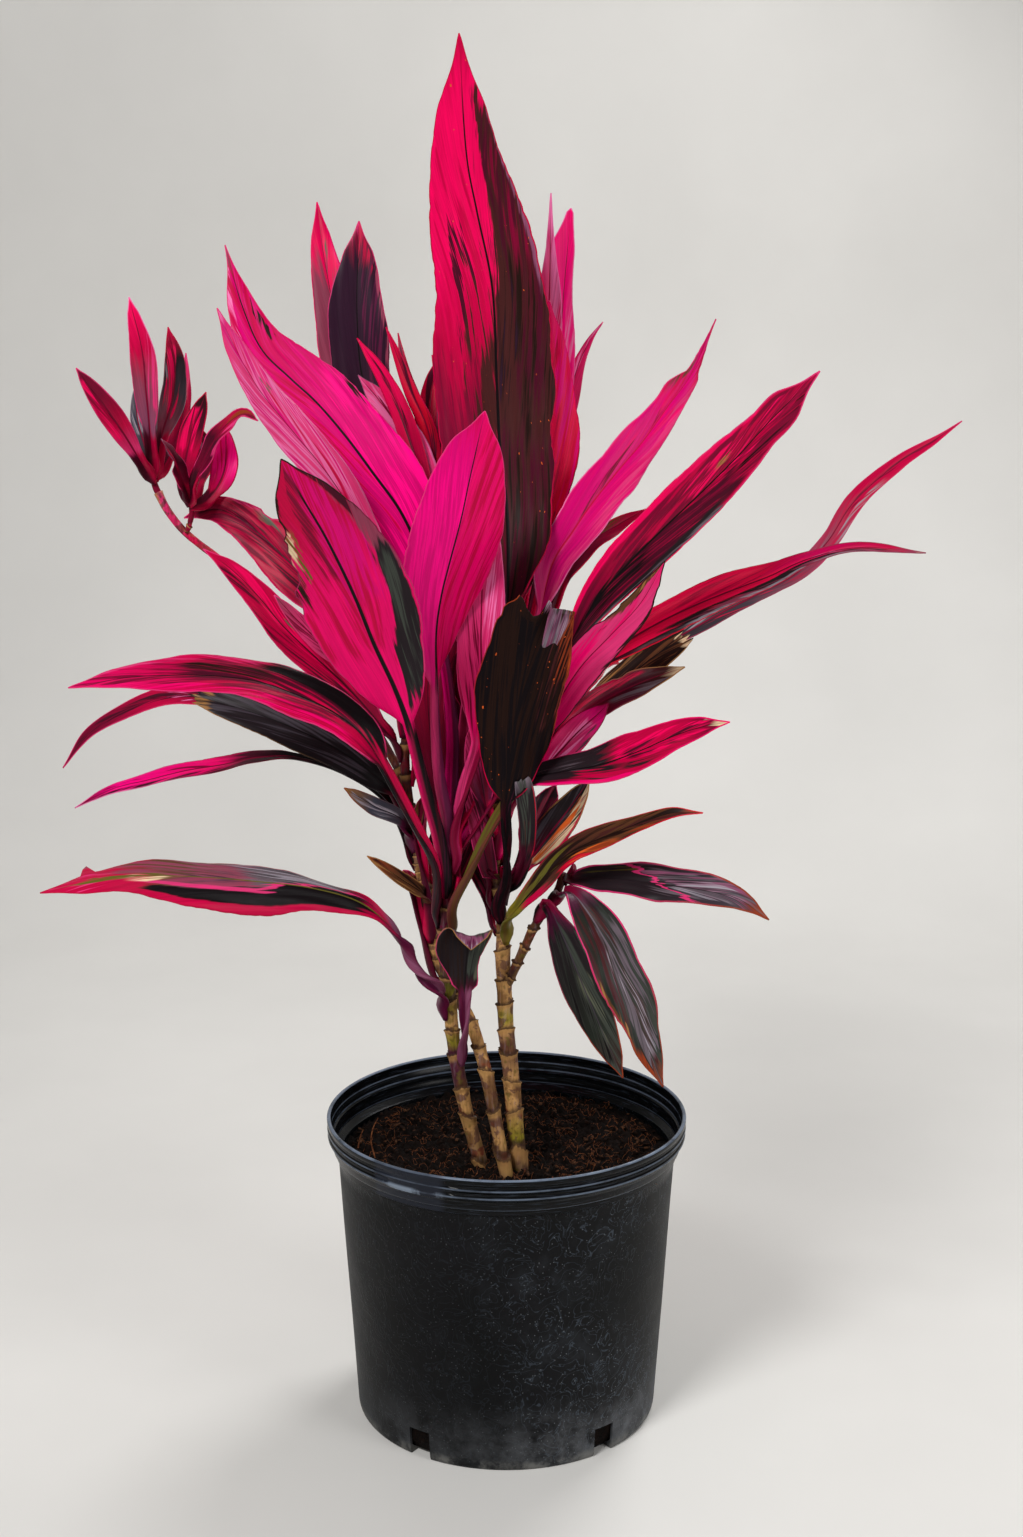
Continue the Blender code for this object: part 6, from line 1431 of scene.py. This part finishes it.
def leaf_skin(shape, leaf, line, blade_from, out, reach, slot=0):
    """Adds one leaf to the shape: the form of its solid, with finer waves, a midrib and thin uneven edges.

    The line runs from the leaf's foot to its tip, its blade starts at length blade_from, out is the way out
    from the stem at its foot, and reach is how far from the stem's axis the foot is.
    """
    draw = random.Random(leaf.name)
    along = lengths(line)
    end = along[-1]
    at = np.concatenate([np.linspace(0, blade_from, max(4, round(blade_from / ROW_STEP)))[:-1],
                         np.linspace(blade_from, end, max(16, round((end - blade_from) / ROW_STEP)))])
    shares = shares_for(leaf.wide)
    place = read(line, along, at)
    ahead = read(line, along, np.clip(at + LOOK_AHEAD * 2, 0, end))
    heading = unit(ahead - read(line, along, np.clip(at - LOOK_AHEAD * 2, 0, end)))
    u = (at - blade_from) / (end - blade_from)
    inside = np.clip(u, 0, 1)[:, None]
    face = (1 - inside) * toward(*leaf.face[0]) + inside * toward(*leaf.face[1])
    face = unit(face - heading * np.sum(face * heading, axis=1, keepdims=True))
    start = -np.broadcast_to(out, heading.shape)
    start = unit(start - heading * np.sum(start * heading, axis=1, keepdims=True))
    turn = np.arctan2(np.sum(np.cross(face, start) * heading, axis=1), np.sum(face * start, axis=1))
    turn = np.unwrap(turn) * (1 - eased(at, CLASP_RISE * 0.8, max(blade_from, CLASP_RISE * 2.5)))
    normal = face * np.cos(turn)[:, None] + np.cross(heading, face) * np.sin(turn)[:, None]
    across = np.cross(heading, normal)

    in_blade = eased(at, blade_from - BLADE_LEAD, blade_from + BLADE_OPENS * (end - blade_from))
    clasping = 1 - eased(at, CLASP_RISE * 0.7, CLASP_RISE * 2.2)
    stalk = STALK_HALF * STOUT.get(leaf.name, 1.0)
    stalk = stalk + (leaf.clasp / 1000 - stalk) * clasping
    stalk = stalk + SHEATH_FLARE * (1 - eased(at, 0.02, SHEATH_LONG)) * eased(at, 0, CLASP_RISE)
    tapered = FOOT_TAPER + (1 - FOOT_TAPER) * eased(at, 0, CLASP_RISE * 0.6)
    stalk = stalk * np.clip(1 - u * (u > 0), 0, 1) ** 2 * tapered
    blade = blade_half(u * (1 - leaf.torn), leaf.wide / 1000, leaf.peak, leaf.full)
    blade = blade * (1 - (0 if leaf.torn else POINTED) * eased(u, 0.88, 0.98))
    fold = math.radians(leaf.fold) * in_blade + STALK_FOLD * (1 - in_blade) * (1 - clasping)
    bend_stalk = STALK_BEND * (1 - clasping) + stalk / reach * clasping
    bend = math.radians(leaf.droop) * in_blade + bend_stalk * (1 - in_blade)
    fade = np.sin(np.pi * inside[:, 0]) ** 0.6

    rows = np.zeros((len(at), len(shares), 3))
    reached = np.zeros((len(at), len(shares)))
    room = np.zeros((len(at), len(shares)))
    for side in (-1, 1):
        share_left = edge_share(draw, leaf.name, side, at, u)
        half = np.hypot(stalk, blade * (leaf.left if side < 0 else leaf.right) * share_left) + TIP_HALF
        phase = math.sin(1.7 * leaf.wide + 2.1 * (side < 0)) * 3
        big = leaf.wave / 1000 * fade * np.sin(2 * np.pi * leaf.waves * inside[:, 0] + phase)
        small = SMALL_WAVE * leaf.wave / 1000 * fade * ripple(draw, at, 0.016, 0.05, 4)
        pleat = PLEAT * fade * in_blade
        for k, share in enumerate(shares):
            if share * side < 0:
                continue
            x, h = half_section(half, fold, bend, abs(share))
            h = h + big * share ** 2 + small * share ** 4
            h = h + pleat * np.sin(2 * np.pi * abs(share) * half / PLEAT_LONG) * eased(abs(share), 0.05, 0.2)
            rows[:, k] = place + across * (side * x)[:, None] + normal * h[:, None]
            reached[:, k] = side * abs(share) * half
            room[:, k] = (1 - abs(share)) * half
    rows = rows - out * (FOOT_SUNK * (1 - eased(at, 0, CLASP_RISE)))[:, None, None]
    if leaf.torn:
        rows = rows - heading[:, None, :] * torn_back(draw, leaf, inside, shares)[..., None]
    if leaf.name in ROLLED:
        ahead, rise = rolled(draw, leaf.name, at - blade_from, end - blade_from, shares)
        rows = rows + heading[:, None, :] * ahead[..., None] + normal[:, None, :] * rise[..., None]
    flow = np.gradient(rows, axis=0)
    width = np.gradient(rows, axis=1)
    up = unit(np.cross(width, flow))
    up = unit(np.where(np.sum(up * normal[:, None], axis=-1, keepdims=True) < 0, -up, up))
    rib = np.exp(-(reached / RIB_HALF) ** 2) * (1 - inside) * in_blade[:, None]
    body = THIN + (STALK - THIN) * (1 - in_blade)[:, None]
    body = body * (EDGE_THIN + (1 - EDGE_THIN) * np.clip(room / EDGE_REACH, 0, 1))
    over = rows + up * (body / 2 - RIB_GROOVE * rib)[..., None]
    under = rows - up * (body / 2 + RIB_RISE * rib)[..., None]

    blade_at = np.stack([spread(u[:, None], room), spread(shares, room), np.ones_like(room)], -1)
    flat = np.stack([spread(at[:, None], room), reached, room], -1)
    shape.add(np.stack([over, under]), sheet_faces(*room.shape), slot,
              blade=np.stack([blade_at, blade_at * (1, 1, -1)]), flat=np.stack([flat, flat]))


def midrib(leaf, start, beyond):
    """The leaf's line from its foot to its tip, and how far along it the blade starts."""
    line = smooth([start, beyond, *(seen(*p) for p in leaf.line)])
    return line, lengths(line)[(leaf.stalk + 1) * PIECES]


def arch(leaf, start, beyond):
    """The same for a leaf at the back."""
    end = sum(leaf.long)
    pieces = max(4, round(end / BACK_STEP))
    points = [start, beyond]
    for k in range(pieces):
        angle = math.radians(leaf.lean + leaf.bow * ((k + 0.5) / pieces) ** BACK_CURL)
        ahead = toward(leaf.way, 0) * math.sin(angle) + np.array((0, 0, math.cos(angle)))
        points.append(points[-1] + ahead * end / pieces)
    return smooth(points), leaf.long[0] + CLASP_RISE


def leaf_piece(leaf, stem):
    """One leaf, in place of its solid where it has one."""
    start, beyond, out, reach = foot_on(stem, *leaf.foot)
    line, blade_from = arch(leaf, start, beyond) if leaf.line == () else midrib(leaf, start, beyond)
    shape = Shape()
    leaf_skin(shape, leaf, line, blade_from, out, reach)
    material = leaf_material(leaf.name + "_surface", LOOKS[leaf.name])
    if isinstance(leaf, InnerLeaf):
        return shape.done(leaf.name, [material], None)
    return shape.done("fine_" + leaf.name, [material], leaf.name)


def frames(line):
    """Two ways across a line at each of its points, which turn with it as little as they can."""
    heading = unit(np.gradient(line, axis=0))
    first = np.cross(heading[0], (0.0, 1.0, 0.0))
    ways = []
    for ahead in heading:
        first = first - ahead * (first @ ahead)
        first = first / np.linalg.norm(first)
        ways.append(first)
    ways = np.array(ways)
    return ways, np.cross(heading, ways)


def tube(line, reach, sides):
    """A tube's skin along a line, and its faces with both ends closed. reach is how far out each point is."""
    first, second = frames(line)
    turn = np.linspace(0, 2 * np.pi, sides, endpoint=False)
    ways = np.cos(turn)[None, :, None] * first[:, None] + np.sin(turn)[None, :, None] * second[:, None]
    last = (len(line) - 1) * sides
    ends = [tuple(range(sides)), tuple(last + k for k in range(sides - 1, -1, -1))]
    return line[:, None] + ways * reach, grid_faces(len(line), sides, around=True, flip=True) + ends


def stem_skin(shape, name, points, buried, rings, slot):
    """Adds a cane or branch, with a lip at each ring scar and uneven bark. Rings are rows of the photo."""
    draw = random.Random(name)
    line, radii = stem_line(points, buried)
    along = lengths(line)
    at = np.arange(0, along[-1], CANE_ROW)
    place = read(line, along, at)
    radius = np.interp(at, along, radii) * (1 + RING_SWELL / 2)
    marks = along[::PIECES][1 if buried else 0:]
    scars = sorted(np.interp(-np.array(rings, float), [-p[1] for p in points], marks))
    gaps = np.array([0, *scars, along[-1] + 0.02])
    phase = np.interp(at, gaps, np.arange(len(gaps)))
    turn = np.linspace(0, 2 * np.pi, CANE_SIDES, endpoint=False)
    tilt = np.interp(phase, np.arange(len(gaps)), [draw.uniform(-0.05, 0.05) for _ in gaps])
    swing = np.interp(phase, np.arange(len(gaps)), [draw.uniform(0, 6.28) for _ in gaps])
    dip = SCAR_DIP * np.abs(np.sin((turn[None] + swing[:, None]) / 2))
    leaning = phase[:, None] + tilt[:, None] * np.cos(turn[None] + swing[:, None]) + dip
    past = leaning % 1
    lip = RING_LIP * (np.exp(-((1 - past) / LIP_ABOVE) ** 2) - 0.5 * np.exp(-(past / LIP_BELOW) ** 2))
    lip = lip + RING_FLARE * (past ** 3 - 0.4)
    bark = np.array([[noise.noise(p * BARK_FINE)] for p in place])
    fluted = BARK_FLUTES * np.sin(3 * turn[None] + at[:, None] * 90)
    swell = radius[:, None] * (1 + BARK_ROUGH * bark) + lip + fluted
    skin, faces = tube(place, swell[..., None], CANE_SIDES)
    stem = np.stack([spread((at / at[-1])[:, None], swell), spread(turn / 6.2832, swell), leaning], -1)
    shape.add(skin, faces, slot, stem=stem)


def share_at(points, row, buried):
    """How far along a cane the photo row is, as a share of its whole length with its buried end."""
    line, _ = stem_line(points, buried)
    along = lengths(line)
    marks = along[::PIECES][1 if buried else 0:]
    return float(np.interp(-row, [-p[1] for p in points], marks) / along[-1])


def cane_piece(name):
    """One cane with its branches, in place of its solid."""
    shape = Shape()
    materials = []
    parts = [(name, CANES[name], CANE_DEPTH)]
    parts += [(b, BRANCHES[b], 0.0) for b, cane in BRANCH_OF.items() if cane == name]
    for slot, (part, points, buried) in enumerate(parts):
        rings, zones = BARK[part]
        stem_skin(shape, part, points, buried, rings, slot)
        stops = [(share_at(points, row, buried), colour) for row, colour in zones]
        materials.append(cane_material(part + "_bark", sorted(stops)))
    return shape.done("fine_" + name, materials, name)


def tip_piece(tip, stem):
    """A growing tip in place of its solid: a stub and small leaves, each with a surface of its own."""
    line, radii = stem
    ahead = unit(line[-1] - line[-2])
    shape = Shape()
    core = smooth([line[-1] - ahead * TIP_SEAT, line[-1] + ahead * TIP_SEAT,
                   *(np.array(seen(*p[:3])) for p in tip.stub)])
    along = lengths(core)
    widths = np.interp(along, along[::PIECES], [radii[-1], radii[-1], *(p[3] / 1000 for p in tip.stub)])
    skin, faces = tube(core, widths[:, None, None], CANE_SIDES)
    values = spread((-0.5, 0.0, 1.0), skin)
    shape.add(skin, faces, 0, blade=values, flat=values * 0.002)
    materials = []
    for k, (points, wide, look) in enumerate(tip.blades):
        name = f"{tip.name}_blade_{k}"
        leaf = Leaf(name, tip.stem, (0, 0), points, 1, wide, (look, look), clasp=TIP_CLASP,
                    full=BLUNT.get(name, Leaf.full))
        rib = smooth([seen(*p) for p in points])
        leaf_skin(shape, leaf, rib, lengths(rib)[-1] * TIP_BARE, -toward(*look), 1.0, k)
        materials.append(leaf_material(name + "_surface", TIP_LOOKS[tip.name][k]))
    return shape.done("fine_" + tip.name, materials, tip.name)


def round_at(radius, angle):
    """The place at this radius and angle round the pot's axis, from the front to the right."""
    return radius * math.sin(angle), -radius * math.cos(angle)


def wall_radius(z):
    """The outer radius of the pot's tapered wall."""
    return FOOT_RADIUS + (BODY_TOP_RADIUS - FOOT_RADIUS) * z / (POT_HEIGHT - RIM_BAND)


def pot_profile():
    """The pot's outline: radius, height, and how far a ridge stands out there, from the floor up and over."""
    band = POT_HEIGHT - RIM_BAND
    inside = [(0, FLOOR, 0), (wall_radius(FLOOR) - WALL - 0.004, FLOOR, 0),
              (wall_radius(0.007) - WALL, 0.007, 0)]
    inside += [(wall_radius(z) - WALL, z, 0) for z in np.linspace(0.02, band, 8)]
    inside += [(RIM_RADIUS - inward, band + rise, 0) for inward, rise in BAND_INSIDE]
    lip = [(RIM_RADIUS - LIP + LIP * math.sin(a), POT_HEIGHT - LIP + LIP * math.cos(a), 0)
           for a in np.linspace(-math.pi / 2, math.pi / 2, 9)]
    outside = [(RIM_RADIUS - inward, POT_HEIGHT - depth, ridge) for inward, depth, ridge in BAND_OUTSIDE]
    wall = [(wall_radius(z), z, 0) for z in (*np.linspace(band - 0.0012, 0.02, 14), 0.008)]
    foot = [(wall_radius(0.006) - 0.002 * (1 - math.cos(a)), 0.006 - 0.006 * math.sin(a), 0)
            for a in np.linspace(0, math.pi / 2, 6)]
    return inside + lip + outside + wall + foot + [(0, 0, 0)]


def slot_cutter(size, place, angle):
    """A block that cuts a drain slot."""
    block = bmesh.new()
    bmesh.ops.create_cube(block, size=1)
    mesh = bpy.data.meshes.new("slot_cutter")
    block.to_mesh(mesh)
    block.free()
    made = linked("slot_cutter", mesh)
    made.scale = size
    made.location = place
    made.rotation_euler = (0, 0, angle)
    return made


def pot_piece():
    """The pot, with its ridges worn flat on one stretch, and its five drain slots cut."""
    profile = pot_profile()
    turn = np.linspace(0, 2 * np.pi, POT_STEPS, endpoint=False)
    degrees = (np.degrees(turn) + 180) % 360 - 180
    worn = eased(degrees, WORN_FROM, WORN_FROM + 4) * (1 - eased(degrees, WORN_TO - 8, WORN_TO))
    shape = bmesh.new()
    rings = []
    for radius, height, ridge in profile:
        if radius == 0:
            rings.append([shape.verts.new((0, 0, height))])
            continue
        reach = radius + ridge * (1 - worn) + (WORN_RIDGE * worn if 0 < ridge else 0)
        reach = reach + POT_UNEVEN * np.sin(3 * turn + height * 40) * (radius > 0.1)
        rings.append([shape.verts.new((*round_at(r, a), height)) for r, a in zip(reach, turn)])
    for low, high in zip(rings, rings[1:]):
        for k in range(POT_STEPS):
            n = (k + 1) % POT_STEPS
            corners = [low[k % len(low)], low[n % len(low)], high[n % len(high)], high[k % len(high)]]
            shape.faces.new(list(dict.fromkeys(corners)))
    bmesh.ops.recalc_face_normals(shape, faces=shape.faces)
    mesh = bpy.data.meshes.new("fine_pot")
    shape.to_mesh(mesh)
    shape.free()
    made = linked("fine_pot", mesh)
    cutters = []
    for k in range(SLOTS):
        angle = math.radians(FIRST_SLOT + k * 360 / SLOTS)
        place = (*round_at(FOOT_RADIUS, angle), 0)
        cutters.append(slot_cutter((SLOT_WIDTH, SLOT_DEPTH, SLOT_HEIGHT * 2), place, angle))
        change = made.modifiers.new("slot", "BOOLEAN")
        change.operation = "DIFFERENCE"
        change.object = cutters[-1]
        change.solver = "EXACT"
    cut = made.evaluated_get(bpy.context.evaluated_depsgraph_get())
    made.data = bpy.data.meshes.new_from_object(cut)
    made.modifiers.clear()
    for cutter in cutters:
        bpy.data.objects.remove(cutter)
    made.data.materials.clear()
    made.data.materials.append(pot_material())
    made.data.shade_smooth()
    made.data.set_sharp_from_angle(angle=math.radians(38))
    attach(made, "root")
    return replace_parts(made, "pot")


def soil_height(x, y):
    """The crumbly top of the soil."""
    place = Vector((x, y, 0))
    lumps = noise.fractal(place * 26, 0.6, 2.1, 4)
    crumbs = noise.turbulence(place * 170, 4, False)
    return SOIL_TOP - 0.0016 + 0.0028 * lumps + 0.0052 * (crumbs - 0.35)


def soil_piece():
    """The soil in place of its solid: a heap of crumbs down to the pot's floor."""
    brim = SOIL_TOP - SOIL_EDGE
    inside = WALL + SOIL_CLEAR
    top = wall_radius(brim) - inside
    angles = [2 * math.pi * k / SOIL_STEPS for k in range(SOIL_STEPS)]
    points = [(0, 0, soil_height(0, 0))]
    for i in range(1, SOIL_RINGS + 1):
        for a in angles:
            x, y = round_at(top * (i / SOIL_RINGS) ** 0.85, a)
            points.append((x, y, soil_height(x, y) - 0.002 * (i / SOIL_RINGS) ** 8))
    sides = [(top, brim), (wall_radius(0.03) - inside, 0.03), (wall_radius(0.012) - inside, 0.012),
             (wall_radius(0.006) - inside - 0.004, FLOOR + 0.0003)]
    points += [(*round_at(radius, a), height) for radius, height in sides for a in angles]
    faces = [(0, 1 + k, 1 + (k + 1) % SOIL_STEPS) for k in range(SOIL_STEPS)]
    rings = SOIL_RINGS + len(sides)
    skin = grid_faces(rings, SOIL_STEPS, around=True, flip=True)
    faces += [tuple(1 + corner for corner in face) for face in skin]
    last = 1 + (rings - 1) * SOIL_STEPS
    faces.append(tuple(last + k for k in range(SOIL_STEPS - 1, -1, -1)))
    shape = Shape()
    shape.add(np.array(points), faces)
    material = soil_material("soil_surface", (5, 3, 2), (24, 14, 10), 260)
    return shape.done("fine_soil", [material], "soil")


def on_soil(draw, margin):
    """A place drawn at random on the soil, at least this far from the pot's wall."""
    radius = (wall_radius(SOIL_TOP) - WALL - margin) * math.sqrt(draw.random())
    return round_at(radius, draw.uniform(0, FULL_TURN))


def crumbs_piece():
    """Bits of bark that lie in the soil's top."""
    draw = random.Random(11)
    shape = Shape()
    corners = np.array([(x, y, z) for x in (-1, 1) for y in (-1, 1) for z in (-1, 1)], float)
    faces = [(0, 1, 3, 2), (4, 6, 7, 5), (0, 4, 5, 1), (2, 3, 7, 6), (0, 2, 6, 4), (1, 5, 7, 3)]
    for _ in range(BITS):
        x, y = on_soil(draw, 0.006)
        size = np.array([draw.uniform(0.6, 3.2), draw.uniform(0.4, 1.4), draw.uniform(0.3, 0.9)]) / 1000
        bit = corners * [[draw.uniform(0.6, 1.1) for _ in range(3)] for _ in range(8)] * size
        turn, lean = draw.uniform(0, FULL_TURN), draw.uniform(-0.6, 0.6)
        c, s, cl, sl = math.cos(turn), math.sin(turn), math.cos(lean), math.sin(lean)
        bit = bit @ np.array([[cl, 0, -sl], [0, 1, 0], [sl, 0, cl]])
        bit = bit @ np.array([[c, s, 0], [-s, c, 0], [0, 0, 1]])
        shape.add(bit + (x, y, soil_height(x, y) + 0.0003), faces, draw.choice((0, 0, 0, 1)))
    materials = [soil_material("bark_bits", (12, 7, 5), (46, 27, 18), 500),
                 soil_material("pale_bits", (54, 34, 24), (104, 70, 48), 500)]
    return shape.done("soil_bits", materials, None)


def roots_piece():
    """Fine roots that curl out of the soil's top, and two dry stalks by the left rim."""
    draw = random.Random(5)
    shape = Shape()
    lines = []
    for _ in range(ROOTS):
        x, y = on_soil(draw, 0.010)
        way, curl = draw.uniform(0, FULL_TURN), draw.uniform(-0.55, 0.55)
        step, rise = draw.uniform(0.0008, 0.0021), draw.uniform(0.0, 0.0022)
        line = []
        for k in range(9):
            line.append((x, y, soil_height(x, y) + 0.0002 + rise * math.sin(math.pi * k / 8)))
            x, y = x + step * math.cos(way), y + step * math.sin(way)
            way += curl + draw.uniform(-0.3, 0.3)
        lines.append((np.array(line), draw.uniform(0.00010, 0.00026)))
    lines += [(smooth([seen(*p) for p in points]), 0.0006) for points in DRY_STALKS]
    for line, radius in lines:
        skin, faces = tube(line, np.linspace(1, 0.5, len(line))[:, None, None] * radius, 4)
        shape.add(skin, faces)
    material = soil_material("root_surface", (84, 44, 27), (158, 98, 62), 300)
    return shape.done("soil_roots", [material], None)


def studio():
    """A pale floor that curves up behind the plant, soft lights, and the camera where the photo was taken."""
    depth, height, bend, half = BACKDROP
    profile = [(-6.0, 0.0), (depth - bend, 0.0)]
    profile += [(depth - bend + bend * math.sin(a), bend - bend * math.cos(a))
                for a in np.linspace(0.08, math.pi / 2, 20)]
    profile += [(depth, height)]
    points = [(x, y, z) for y, z in profile for x in (-half, half)]
    faces = [(2 * k, 2 * k + 1, 2 * k + 3, 2 * k + 2) for k in range(len(profile) - 1)]
    mesh = bpy.data.meshes.new("floor")
    mesh.from_pydata(points, [], faces)
    mesh.shade_smooth()
    g = Graph("pale_floor")
    cloud = g.noise(g.node("ShaderNodeTexCoord").outputs["Object"], 3.0, detail=4)
    mesh.materials.append(g.finish(g.mix(cloud, tone(212, 210, 206), tone(228, 226, 222)), 0.75))
    linked("floor", mesh)

    scene = bpy.context.scene
    scene.world = bpy.data.worlds.new("studio")
    scene.world.use_nodes = True
    sky = scene.world.node_tree.nodes["Background"].inputs
    sky["Color"].default_value = (1.0, 1.0, 1.0, 1)
    sky["Strength"].default_value = SKY_STRENGTH
    for name, place, size, power in LIGHTS:
        lamp = bpy.data.lights.new(name, "AREA")
        lamp.shape = "DISK"
        lamp.size = size
        lamp.energy = power
        made = linked(name, lamp)
        made.location = place
        made.rotation_euler = (LIT - Vector(place)).to_track_quat("-Z", "Y").to_euler()

    lens = bpy.data.cameras.new("camera")
    lens.sensor_fit = "VERTICAL"
    lens.sensor_height = 24
    lens.lens = EYE_FOCAL / PHOTO_HEIGHT * lens.sensor_height
    scene.camera = linked("camera", lens)
    scene.camera.location = EYE
    scene.camera.rotation_euler = (math.pi / 2 - EYE_PITCH, 0, 0)
    scene.view_settings.view_transform = "Standard"


def dress():
    """Makes every piece."""
    stems = {name: stem_line(points, CANE_DEPTH) for name, points in CANES.items()}
    stems.update({name: stem_line(points) for name, points in BRANCHES.items()})
    pot_piece()
    soil_piece()
    crumbs_piece()
    roots_piece()
    for name in CANES:
        cane_piece(name)
    for leaf in (*LEAVES, *BACK_LEAVES, *INNER_LEAVES):
        leaf_piece(leaf, stems[leaf.stem])
    for tip in TIPS:
        tip_piece(tip, stems[tip.stem])


studio()
dress()
